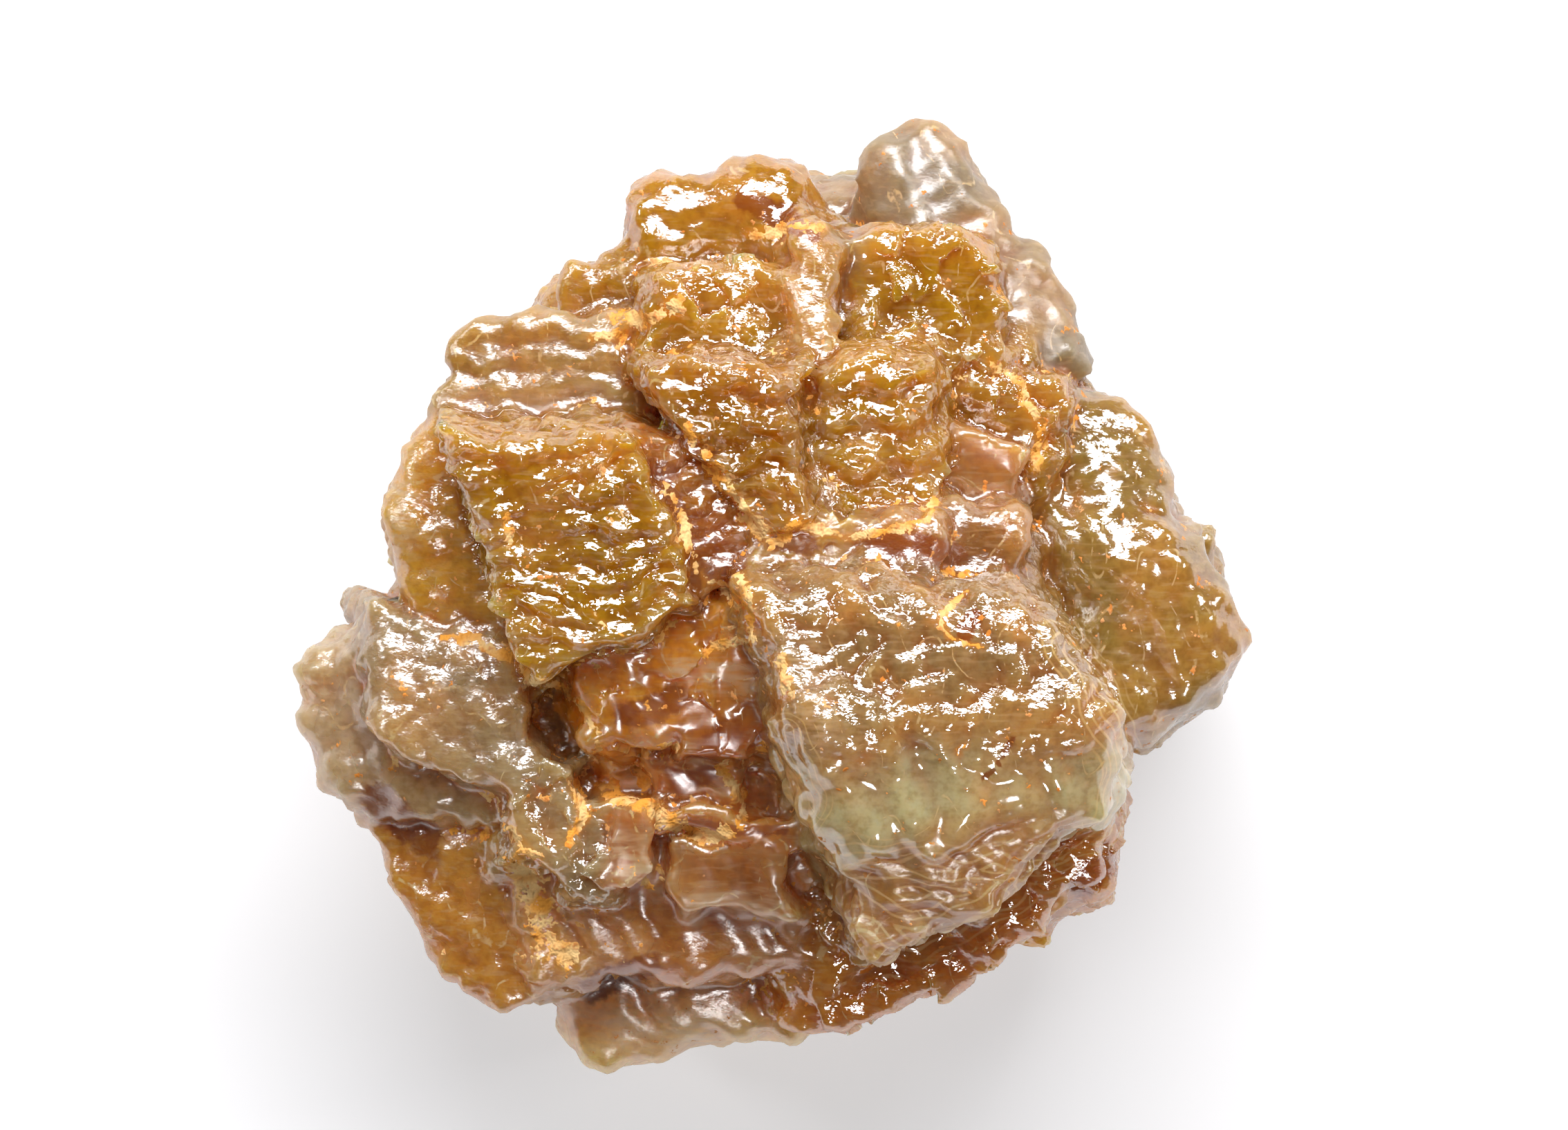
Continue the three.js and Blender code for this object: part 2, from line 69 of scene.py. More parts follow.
CRYSTALS = [Crystal(*row) for row in (
    ("foot", ((-2.2, 3.3), (3.3, 1.9), (2.5, -3.2), (-2.9, -2.3)),
     4.2, (0, 0), (-0.12, -0.1, -0.14, -0.1), 4.2, 0.15, "waved", "honey"),
    ("heart", ((-3.7, 3.3), (3.3, 3.5), (3.6, -3), (-3.6, -3.4)),
     6.2, (0, 0), (-0.05, -0.05, -0.05, -0.05), 4.6, 0.3, "knobbed", "honey"),
    ("left hanging crystal", ((-4.7, 1.4), (-2.4, 1.8), (-2, -1.2), (-4.9, -1.5)),
     5, (-0.35, 0.05), (-0.05, 0, -0.05, -0.1), 4.3, 0.35, "knobbed", "fawn"),
    ("far left hanging crystal", ((-3.9, 3.3), (-1, 4.3), (-0.4, 1.8), (-3.2, 1)),
     4.8, (-0.2, 0.3), (-0.1, 0, 0, -0.1), 3.95, 0.3, "stepped", "honey"),
    ("far hanging crystal", ((-0.7, 4.7), (2.2, 5.1), (2.6, 2.2), (-0.3, 2)),
     4.6, (0.05, 0.35), (-0.1, -0.05, 0, -0.05), 3.9, 0.3, "knobbed", "taupe"),
    ("far right hanging crystal", ((2, 3.9), (4.2, 2.7), (4.7, 0.2), (2.2, 0.6)),
     4.6, (0.3, 0.2), (-0.1, -0.1, 0, 0), 3.75, 0.3, "ridged", "olive"),
    ("right hanging crystal", ((3, 1.2), (5.4, 0.6), (5, -2), (2.8, -1.6)),
     4.6, (0.35, -0.05), (0, -0.15, -0.1, 0), 3.95, 0.35, "knobbed", "olive"),
    ("near right hanging crystal", ((1.2, -1.8), (3.9, -2), (3.6, -4.1), (1, -4.6)),
     4.6, (0.15, -0.3), (0, -0.1, -0.1, 0), 3.8, 0.3, "stepped", "brown"),
    ("near hanging crystal", ((-2.3, -2.4), (0.9, -2.2), (0.8, -5), (-1.9, -5.3)),
     4.2, (0, -0.3), (0, -0.05, -0.1, -0.05), 3.5, 0.35, "knobbed", "biscuit"),
    ("near left hanging crystal", ((-4.8, -1.4), (-2.2, -1.6), (-2.2, -4.4), (-4.2, -4.3)),
     4.7, (-0.3, -0.25), (0, 0, -0.1, -0.1), 3.8, 0.3, "ridged", "tangerine"),
    ("left waist crystal", ((-4.8, 1.4), (-3.6, 1.9), (-3.4, 0.2), (-4.7, 0.05)),
     4.9, (0.5, 0.1), (-0.1, 0, -0.1, 0.1), 2.6, 0.25, "stepped", "honey"),
    ("far left waist crystal", ((-3.2, 3.7), (-1.4, 4.5), (-0.9, 3), (-3, 2.4)),
     4.3, (0.1, -0.5), (0.12, 0, 0, -0.1), 2.4, 0.25, "knobbed", "honey"),
    ("far waist crystal", ((0.2, 5.3), (2.3, 5.6), (2.5, 3.6), (0.4, 3.4)),
     4.2, (0, -0.4), (0.08, -0.1, 0, 0), 2.2, 0.3, "stepped", "taupe"),
    ("right waist crystal", ((4, 1.4), (5.6, 0.9), (5.85, -0.9), (4.2, -0.8)),
     4.4, (-0.4, 0), (-0.1, 0.05, -0.1, 0), 2.4, 0.25, "knobbed", "olive"),
    ("near right waist crystal", ((2.4, -2.6), (4.4, -2.3), (4.2, -3.8), (2.3, -4.3)),
     4.6, (-0.1, 0.4), (0, 0.05, 0.1, 0), 2.4, 0.25, "chipped", "brown"),
    ("near waist crystal", ((-2.2, -3.6), (-0.2, -3.4), (-0.3, -5.4), (-2.4, -5.5)),
     3.6, (0, 0.4), (0, -0.1, 0.05, -0.1), 2, 0.25, "stepped", "biscuit"),
    ("near left waist crystal", ((-4.9, -2.2), (-3.2, -2.4), (-3, -4.7), (-4.5, -4.2)),
     4.35, (0.4, 0.2), (0, 0, 0.05, 0.05), 2.4, 0.25, "knobbed", "tangerine"),
    ("left cube", ((-4.15, 2.12), (-1.78, 2.02), (-0.92, -0.08), (-3.05, -0.98)),
     8.5, (0.04, 0.18), (0.12, 0.1, 0.08, 0), 3.5, 0.12, "ridged", "honey"),
    ("red wedge", ((-1.78, 2.15), (-0.95, 2), (-0.2, 0.6), (-0.98, -0.08)),
     8.2, (-0.32, 0.1), SPREAD, 3, 0.08, "fine ridged", "rust"),
    ("middle cube", ((-1.62, 2.92), (0.28, 2.98), (0.34, 0.95), (-0.35, 1)),
     8.5, (-0.03, 0.14), (0.12, 0.2, 0.1, 0.05), 3.5, 0.12, "broken ridged", "russet"),
    ("right cube", ((0.62, 3.08), (2.02, 3.05), (2.02, 1.1), (0.62, 0.95)),
     7.8, (-0.15, 0.12), (0.12, 0.15, 0.1, 0.1), 3.5, 0.25, "wide ridged", "honey"),
    ("ledge", ((-1.62, 4.15), (0.42, 4.2), (0.5, 3), (-1.6, 2.95)),
     7.3, (0.02, -0.1), (0.05, 0.1, 0.1, 0.1), 3, 0.12, "chipped", "honey"),
    ("pale facet", ((0.5, 4.65), (1.12, 4.6), (1.12, 3.75), (0.5, 3.8)),
     7, (-0.1, 0.3), SPREAD, 2, 0.05, "smooth", "taupe"),
    ("upper right crystal", ((0.95, 4.75), (2.8, 4.6), (3.05, 2.95), (0.98, 2.9)),
     6.9, (-0.2, 0.05), (-0.05, -0.05, 0.1, 0.1), 3, 0.3, "chipped", "honey"),
    ("upper left knob", ((-1.95, 5.5), (0.62, 5.72), (0.62, 4.1), (-2.12, 4.15)),
     6.4, (-0.04, -0.1), (-0.2, 0, 0.1, -0.15), 3.2, 0.6, "glassy", "honey"),
    ("upper left step", ((-2.7, 4.25), (-1.5, 4.6), (-1.4, 3.1), (-2.7, 3.4)),
     6.2, (0.1, -0.1), (-0.1, 0.1, 0.1, -0.15), 3, 0.2, "knobbed", "honey"),
    ("left shoulder", ((-4, 3.5), (-1.8, 3.75), (-1.6, 1.95), (-4.55, 2.05)),
     6.8, (0.1, 0.04), (-0.1, 0.1, 0.1, -0.2), 3, 0.25, "close grained", "sand"),
    ("far right crystal", ((0.95, 5.75), (2.2, 6.3), (4.3, 2.95), (2.2, 2.4)),
     5.9, (-0.1, -0.15), (-0.2, -0.15, 0.1, 0.1), 3.4, 0.5, "frosted", "taupe"),
    ("notch floor", ((2, 3), (3.7, 2.85), (3.5, 1.1), (2, 1.1)),
     6.4, (-0.1, 0.1), (0, 0, 0.1, 0.1), 2.5, 0.2, "chipped", "russet"),
    ("flat facet", ((2.2, 2.1), (3.08, 2), (3.08, 1.4), (2.2, 1.42)),
     7, (-0.1, 0.15), SPREAD, 2.5, 0.05, "smooth", "blush"),
    ("amber crystal", ((3.1, 1.2), (5.25, 1.5), (6.32, -0.85), (4.25, -2.35)),
     6.2, (-0.15, 0.05), (0.1, -0.2, -0.15, 0.1), 3.6, 0.8, "glassy", "olive"),
    ("amber crystal's shoulder", ((3.5, 2.75), (4.6, 2.42), (5.1, 1.2), (3.1, 1)),
     5.9, (-0.1, -0.2), (0, 0, 0.1, 0.1), 3, 0.25, "glassy", "olive"),
    ("left knob of the middle ledge", ((0.98, 1), (2.05, 1.12), (2.1, 0.25), (0.95, 0.3)),
     8.2, (0, 0.1), SPREAD, 3, 0.2, "pebbled", "tan"),
    ("right knob of the middle ledge", ((2, 1.2), (3.15, 1.25), (3.2, 0), (2.05, 0.1)),
     7.6, (-0.1, 0.1), SPREAD, 3, 0.2, "pebbled", "tan"),
    ("clear crystal's far face", ((-0.45, 0.4), (3.25, 0.15), (4.3, -1.8), (0.15, -1.9)),
     9, (-0.03, -0.1), (0.15, 0, 0.1, 0.1), 4.5, 0.5, "domed", "khaki"),
    ("clear crystal's near face", ((0.05, -1), (4.1, -1.2), (4.4, -2.65), (0.75, -3.4)),
     8.8, (-0.05, 0.22), (0.1, -0.03, 0.02, 0.15), 4.5, 0.55, "window", "sage"),
    ("clear crystal's point", ((0.65, -2.6), (3.9, -2.5), (2.6, -3.9), (1.2, -4.45)),
     8.25, (-0.02, 0.42), (0.1, 0.05, 0, 0.1), 3.5, 0.25, "stepped", "clay brown"),
    ("lower left crystal", ((-5.25, 0.1), (-3.2, -0.4), (-2.85, -2.5), (-4.9, -1.9)),
     6.9, (0.08, -0.1), (0, 0.1, 0.1, 0.05), 3, 0.3, "pebbled", "straw"),
    ("lower left crystal's flank", ((-6.2, -0.4), (-4.2, -0.3), (-3.2, -2.9), (-5.7, -2.8)),
     6.1, (0.3, 0.15), (-0.15, 0.1, -0.1, -0.2), 3, 0.5, "swollen", "fawn"),
    ("left silver shard", ((-3.35, -2), (-2.6, -2.1), (-2.5, -3.3), (-3.35, -3.3)),
     7, (0.1, 0.1), SPREAD, 2.5, 0.08, "shattered", "straw"),
    ("right silver shard", ((-2.65, -2.4), (-1.95, -2.5), (-1.9, -3.6), (-2.6, -3.85)),
     6.8, (0.1, 0.2), SPREAD, 2.5, 0.08, "shattered", "straw"),
    ("orange knobs", ((-5.5, -2.6), (-3.4, -2.8), (-3, -5.15), (-4.05, -5.1)),
     5.6, (0.3, 0.15), (0, 0.1, -0.15, -0.25), 3.4, 0.35, "knobbed", "tangerine"),
    ("near block", ((-3.1, -4.3), (0.4, -4.2), (0.5, -5.65), (-2.7, -6.15)),
     4.7, (0.02, 0.25), (0.1, 0.1, -0.25, -0.15), 3.2, 0.6, "waved", "biscuit"),
    ("near right block", ((0, -3.6), (2.3, -3.4), (2.6, -4.95), (0.1, -5.6)),
     5.8, (0.02, 0.3), (0.1, 0.1, -0.2, 0.1), 3.4, 0.3, "chipped", "brown"),
    ("right block", ((2, -3), (4.3, -2.5), (4.25, -3.55), (2.15, -4.95)),
     6.2, (0.05, 0.3), (0.1, -0.15, -0.2, 0.1), 3.4, 0.3, "chipped", "brown"),
    ("orange block", ((-2.55, -0.5), (-0.4, -0.1), (-0.3, -1.3), (-2.3, -2)),
     7.6, (0.05, 0.32), SPREAD, 3, 0.2, "conchoidal", "flame"),
    ("orange facet", ((-1.2, -0.75), (-0.25, -0.75), (-0.2, -1.95), (-1.15, -1.9)),
     7.55, (0.12, 0.08), SPREAD, 3, 0.06, "conchoidal", "burnt"),
    ("cleft floor", ((-2.3, -1.9), (0.5, -1.9), (0.6, -3.4), (-2.2, -3.4)),
     6.4, (0, 0.1), SPREAD, 3, 0.2, "earthy", "flame"),
    ("brown blade", ((-1.5, -2.62), (0.3, -2.72), (0.3, -3), (-1.4, -2.9)),
     6.9, (0, 0.2), SPREAD, 2, 0.05, "smooth", "brown"),
    ("tall shard", ((-2.05, -2.5), (-1.6, -2.45), (-1.55, -3.4), (-2, -3.45)),
     7.1, (0.2, 0.2), SPREAD, 2, 0.05, "smooth", "blush"),
    ("smooth shard", ((-1.3, -3.1), (0.15, -3.05), (0.3, -3.95), (-1.15, -3.85)),
     6.7, (0.05, 0.3), SPREAD, 2, 0.06, "smooth", "blush"),
    ("brown shard", ((-1.6, -1.9), (-0.5, -1.9), (-0.45, -2.5), (-1.6, -2.5)),
     6.8, (0.05, 0.3), SPREAD, 2, 0.06, "smooth", "burnt"),
    ("clay-filled step", ((-3.3, -3.3), (-2.2, -3.6), (-2.3, -4.9), (-3.15, -4.85)),
     5.9, (0.1, 0.25), SPREAD, 2.5, 0.2, "earthy", "tangerine"),
    ("brown step", ((-2.5, -3.4), (0.4, -3.5), (0.4, -4.7), (-2.5, -4.7)),
     6, (0, 0.3), SPREAD, 2.5, 0.25, "waved", "brown"),
    ("far knob of the left edge", ((-4.65, 2.15), (-3.9, 2.2), (-3.7, 0.7), (-4.9, 0.85)),
     6.9, (0.2, -0.05), (0, 0.1, 0.1, -0.15), 3, 0.3, "knobbed", "gold"),
    ("near knob of the left edge", ((-4.85, 1.1), (-3.7, 1.1), (-3, -0.5), (-4.75, -0.1)),
     6.8, (0.2, 0.1), (0, 0.1, 0.1, -0.15), 3, 0.3, "knobbed", "gold"),
    ("seam filling", ((0.15, 4.7), (0.72, 4.7), (0.72, 0.9), (0.15, 0.9)),
     7.6, (-0.02, -0.14), SPREAD, 3, 0.2, "pebbled", "honey"),
    ("junction", ((-0.38, 1.25), (1.05, 1.1), (0.75, 0.35), (-0.2, 0.15)),
     8.15, (0, 0.05), SPREAD, 3, 0.15, "earthy", "honey"),
)]

# The relief of each kind of face: growth forms, each with its pitch and height.
SKINS = {
    "waved": (("knobs", 0.6, 0.05), ("hillocks", 0.36, 0.04)),
    "knobbed": (("hillocks", 0.4, 0.085), ("hillocks", 0.2, 0.03)),
    "stepped": (("terraces", 0.24, 0.07), ("hillocks", 0.3, 0.04)),
    "ridged": (("ridges", 0.35, 0.06), ("chips", 0.26, 0.03)),
    "fine ridged": (("ridges", 0.345, 0.05), ("chips", 0.22, 0.03)),
    "broken ridged": (("ridges", 0.4, 0.065), ("chips", 0.28, 0.05)),
    "wide ridged": (("ridges", 0.5, 0.08), ("hillocks", 0.3, 0.06)),
    "chipped": (("chips", 0.5, 0.14), ("hillocks", 0.22, 0.045)),
    "smooth": (("chips", 0.8, 0.04),),
    "close grained": (("hillocks", 0.2, 0.035), ("ridges", 0.36, 0.035)),
    "swollen": (("knobs", 0.7, 0.08), ("hillocks", 0.34, 0.08)),
    "pebbled": (("hillocks", 0.29, 0.07), ("hillocks", 0.16, 0.025)),
    "frosted": (("hillocks", 0.26, 0.035), ("ridges", 0.35, 0.02)),
    "glassy": (("hillocks", 0.38, 0.06), ("hillocks", 0.17, 0.02)),
    "domed": (("domes", 0.29, 0.12), ("hillocks", 0.15, 0.03)),
    "window": (("fading domes", 0.29, 0.1), ("chips", 0.9, 0.03)),
    "shattered": (("chips", 0.38, 0.13), ("chips", 0.17, 0.04)),
    "conchoidal": (("chips", 0.95, 0.14), ("terraces", 0.34, 0.02)),
    "earthy": (("chips", 0.3, 0.1), ("hillocks", 0.16, 0.05)),
}

# How much of its gloss each kind of face has kept
GLOSS = {
    "frosted": 0.12, "earthy": 0.3, "stepped": 0.35, "close grained": 0.4, "swollen": 0.5, "waved": 0.5,
    "smooth": 0.6, "pebbled": 0.6, "fine ridged": 0.6, "knobbed": 0.65, "conchoidal": 0.7, "glassy": 0.85,
}

# How strongly each kind of face is broken into fine facets
GRAIN = {
    "window": 0.05, "conchoidal": 0.1, "smooth": 0.15, "glassy": 0.5, "frosted": 0.6, "waved": 0.6,
    "swollen": 0.7, "stepped": 0.7,
}

# Colours of the crystals, as they look in daylight, save biscuit and gold: these are lighter than those
# crystals' own colour, painted light that lifts the shade that the near crystals and the left edge's knobs
# lie in.
TINTS = {
    "honey": (184, 132, 20),
    "russet": (174, 118, 22),
    "olive": (160, 128, 60),
    "taupe": (146, 124, 84),
    "straw": (168, 142, 102),
    "fawn": (206, 176, 134),
    "khaki": (162, 128, 80),
    "sage": (202, 188, 140),
    "clay brown": (180, 124, 44),
    # painted light: lighter than the left edge's knobs really are, to lift the shade they lie in
    "gold": (222, 164, 52),
    "tangerine": (201, 139, 51),
    # painted light: lighter than the near crystals really are, to lift the shade they lie in
    "biscuit": (247, 198, 125),
    "brown": (203, 129, 49),
    "tan": (153, 105, 46),
    "flame": (228, 142, 28),
    "burnt": (168, 82, 2),
    "blush": (172, 108, 46),
    "rust": (178, 104, 8),
    "sand": (168, 128, 50),
}


def linear(red, green, blue):
    """A colour of 0 to 255 as a shader takes it."""
    share = np.array([red, green, blue]) / 255
    return np.where(share <= 0.04045, share / 12.92, ((share + 0.055) / 1.055) ** 2.4)


def scatter(cells, salt):
    """A number from 0 to 1 for each cell of a lattice."""
    mixed = (cells[:, 0] * 73856093) ^ (cells[:, 1] * 19349663) ^ (cells[:, 2] * 83492791) ^ (salt * 26544357)
    mixed = ((mixed ^ (mixed >> 13)) * 1274126177) & 0xFFFFFFFF
    return ((mixed ^ (mixed >> 16)) & 0xFFFF) / 65535.0


def ripple(spots, pitch, salt):
    """Smooth noise from -1 to 1 with swellings about a pitch across."""
    scaled = spots / pitch
    base = np.floor(scaled).astype(np.int64)
    part = scaled - base
    part = part * part * (3 - 2 * part)
    total = np.zeros(len(spots))
    for corner in np.ndindex(2, 2, 2):
        weight = np.prod(np.where(corner, part, 1 - part), axis=1)
        total += weight * scatter(base + corner, salt)
    return 2 * total - 1


def nearest_cell(spots, pitch, salt, faceted):
    """Distance and offset to the nearest of some scattered middles, and the cell that it stands in."""
    scaled = spots / pitch
    base = np.floor(scaled).astype(np.int64)
    first = np.full(len(spots), 9.0)
    offset = np.zeros((len(spots), 3))
    owner = np.zeros((len(spots), 3), np.int64)
    for step in np.ndindex(3, 3, 3):
        cell = base + step - 1
        middle = cell + 0.15 + 0.7 * np.stack([scatter(cell, salt + k) for k in range(3)], 1)
        gap = scaled - middle
        if faceted:
            reach = 0.9 * np.abs(gap).max(1) + 0.15 * np.abs(gap).sum(1)
        else:
            reach = np.sqrt((gap ** 2).sum(1))
        closer = reach < first
        first[closer] = reach[closer]
        offset[closer] = gap[closer]
        owner[closer] = cell[closer]
    return first, offset, owner


def sway(spots):
    """How far the crystals' outlines bend from straight."""
    x, y, z = spots.T
    bend = np.stack([
        0.07 * np.sin(2.7 * y + 1.9 * np.sin(1.7 * z + 0.4))
        + 0.045 * np.sin(7.3 * y + 3.1 * z + 2 * np.sin(2.9 * x))
        + 0.024 * np.sin(13.1 * y - 9.7 * z + 2.2 * np.sin(5.3 * x)),
        0.07 * np.sin(2.9 * x + 1.7 * np.sin(1.9 * y + 1.1))
        + 0.045 * np.sin(6.7 * x - 3.7 * z + 2 * np.sin(3.1 * y))
        + 0.024 * np.sin(12.3 * x + 9.1 * z + 2.2 * np.sin(5.9 * y)),
        0.045 * np.sin(2.1 * x + 2.3 * y + 1.5 * np.sin(1.3 * x))
        + 0.03 * np.sin(5.3 * x + 4.1 * y + 1.8 * np.sin(3.7 * x)),
    ], 1)
    return bend * np.clip((z - 0.3) / 0.8, 0, 1)[:, None]


class Block:
    """One crystal's leaning block, as the planes of its six faces."""

    def __init__(self, crystal):
        plan = np.array(crystal.face, float)
        slope = np.array(crystal.slope, float)
        upper = np.c_[plan, crystal.height + (plan - plan.mean(0)) @ slope]
        lower = upper - (0, 0, crystal.depth)
        sides = ((0, 1), (1, 2), (2, 3), (3, 0))
        for lean, (start, end) in zip(crystal.lean, sides):
            along = plan[end] - plan[start]
            outward = np.array([-along[1], along[0]]) / np.hypot(*along)
            for corner in (start, end):
                lower[corner, :2] += outward * lean * crystal.depth
        up = np.array([-slope[0], -slope[1], 1.0])
        up /= np.linalg.norm(up)
        planes = [(up, up @ upper[0]), (-up, -(up @ lower[0]))]
        centre = (upper.mean(0) + lower.mean(0)) / 2
        for start, end in sides:
            down = lower[start] + lower[end] - upper[start] - upper[end]
            normal = np.cross(upper[end] - upper[start], down)
            normal /= np.linalg.norm(normal)
            middle = (upper[start] + upper[end] + lower[start] + lower[end]) / 4
            normal *= np.sign(normal @ (middle - centre))
            planes.append((normal, normal @ middle))
        self.normals = np.array([plane[0] for plane in planes])
        self.offsets = np.array([plane[1] for plane in planes])
        self.round = crystal.round
        self.blend = WINDOW_BLEND if crystal.skin == "window" else SEAM_BLEND
        corners = np.r_[upper, lower]
        self.low = corners.min(0) - RELIEF_REACH
        self.high = corners.max(0) + RELIEF_REACH
        right = upper[1] + upper[2] - upper[0] - upper[3]
        right -= (right @ up) * up
        right /= np.linalg.norm(right)
        self.frame = np.array([right, np.cross(up, right), up])
        self.top = upper.mean(0)
        self.skin = SKINS[crystal.skin]
        self.tint = linear(*TINTS[crystal.tint])
        self.gloss = GLOSS.get(crystal.skin, 1.0)
        self.grain = GRAIN.get(crystal.skin, 1.0)
        self.windowed = crystal.skin == "window"

    def near(self, spots):
        return np.flatnonzero(((spots > self.low) & (spots < self.high)).all(1))

    def distance(self, spots):
        past = spots @ self.normals.T - self.offsets + self.round
        return np.linalg.norm(np.maximum(past, 0), axis=1) + np.minimum(past.max(1), 0) - self.round

    def edge_share(self, spots):
        """1 along the block's edges, 0 away from them."""
        past = np.sort(spots @ self.normals.T - self.offsets, axis=1)
        return np.clip(1 + past[:, -2] / EDGE_WIDTH, 0, 1)

    def grain_share(self, spots):
        """How strongly fine facets break the block's faces."""
        return self.grain + (window_rim(self.local(spots)) if self.windowed else 0)

    def local(self, spots):
        return (spots - self.top) @ self.frame.T


def saw(phase, climb):
    """A skewed wave from -0.5 to 0.5 that spends a share of its pitch climbing."""
    part = phase - np.floor(phase)
    return np.where(part < climb, part / climb, (1 - part) / (1 - climb)) - 0.5


def ridge_phase(local, pitch, salt):
    """How many ridges lie before each spot, and how strong they are there."""
    wander = 0.42 * ripple(local, 0.9, salt) + 0.16 * ripple(local, 0.35, salt + 1)
    strength = 0.95 + 0.75 * ripple(local * (1, 0.5, 1), 0.45, salt + 2)
    return (local[:, 1] + 0.55 * local[:, 2]) / pitch + wander, np.clip(strength, 0.1, 1.5)


def ridges(local, pitch, salt):
    phase, strength = ridge_phase(local, pitch, salt)
    return saw(phase, RIDGE_CLIMB) * strength


def hillocks(local, pitch, salt):
    first, _, _ = nearest_cell(local * (1, 1.15, 1), pitch, salt, True)
    return 0.6 - 1.1 * np.minimum(first, 1.2)


def domes(local, pitch, salt):
    first, _, _ = nearest_cell(local * (1, 1.1, 1), pitch, salt, False)
    return 0.5 - 1.3 * np.minimum(first, 0.9) ** 2


def fading_domes(local, pitch, salt):
    return domes(local, pitch, salt) * window_rim(local)


def window_rim(local):
    """1 on the far edge of the clear crystal's window, 0 from its middle on."""
    return np.clip((local[:, 1] - 0.05 + 0.3 * ripple(local, 0.8, 5)) / 0.7, 0, 1)


def terraces(local, pitch, salt):
    level = 0.8 * local[:, 2] + 0.5 * local[:, 1] + 0.28 * ripple(local, 1.6, salt)
    return saw((level + 0.08 * ripple(local, 0.35, salt + 1)) / pitch, 0.75)


def chips(local, pitch, salt):
    _, offset, owner = nearest_cell(local, pitch, salt, False)
    lean = np.stack([scatter(owner, salt + 10 + k) for k in range(3)], 1) - 0.5
    return 1.6 * (offset * lean).sum(1) + 0.5 * (scatter(owner, salt + 20) - 0.5)


FORMS = {
    "ridges": ridges, "hillocks": hillocks, "domes": domes, "fading domes": fading_domes,
    "terraces": terraces, "chips": chips, "knobs": ripple,
}


def relief(block, number, spots):
    """How far the growth forms raise a crystal's faces."""
    local = block.local(spots)
    raised = np.zeros(len(spots))
    for step, (form, pitch, height) in enumerate(block.skin):
        raised += height * FORMS[form](local, pitch, OWN_SALT * number + 7 * step)
    return raised * np.clip((spots[:, 2] - 0.15) / 0.5, 0, 1)


def join(first, second, blend):
    """The lesser of two distances, with the seam between them softened."""
    near = np.maximum(blend - np.abs(first - second), 0) / blend
    return np.minimum(first, second) - near * near * blend / 4


def face_gaps(spots, blocks):
    """For each crystal, the spots near it and their distances to its plain faces; and each spot's least."""
    least = np.full(len(spots), 1.0)
    gaps = []
    for block in blocks:
        near = block.near(spots)
        gap = block.distance(spots[near])
        least[near] = np.minimum(least[near], gap)
        gaps.append((near, gap))
    return gaps, least


def plain_gap(spots, blocks, blend):
    """Distance to the stone without its relief, with its seams softened."""
    spots = spots + sway(spots)
    total = np.full(len(spots), 1.0)
    for near, gap in face_gaps(spots, blocks)[0]:
        total[near] = join(total[near], gap, blend)
    return total


def stone_gap(spots, blocks):
    """Distance to the stone's surface with its relief, below 0 inside."""
    swayed = spots + sway(spots)
    gaps, least = face_gaps(swayed, blocks)
    total = np.full(len(spots), 1.0)
    for number, (block, (near, gap)) in enumerate(zip(blocks, gaps)):
        skin = (np.abs(gap) < RELIEF_REACH) & (gap < least[near] + 0.25) & (np.abs(least[near]) < 0.3)
        gap[skin] -= relief(block, number, swayed[near[skin]])
        total[near] = join(total[near], gap, block.blend)
    return np.maximum(total, -spots[:, 2])


def fill_crossings(inside):
    """Fills grid spots until no two filled ones meet only across a corner of a grid square."""
    def part(first, second, i, j):
        cut = [slice(None)] * 3
        cut[first] = slice(i, None if i else -1)
        cut[second] = slice(j, None if j else -1)
        return tuple(cut)

    for _ in range(20):
        changed = False
        for first, second in ((0, 1), (0, 2), (1, 2)):
            cuts = [part(first, second, i, j) for i, j in ((0, 0), (1, 0), (0, 1), (1, 1))]
            a, b, c, d = (inside[cut] for cut in cuts)
            crossed = (a & d & ~b & ~c) | (b & c & ~a & ~d)
            if crossed.any():
                changed = True
                for cut in cuts:
                    inside[cut] |= crossed
        if not changed:
            return inside
    return inside


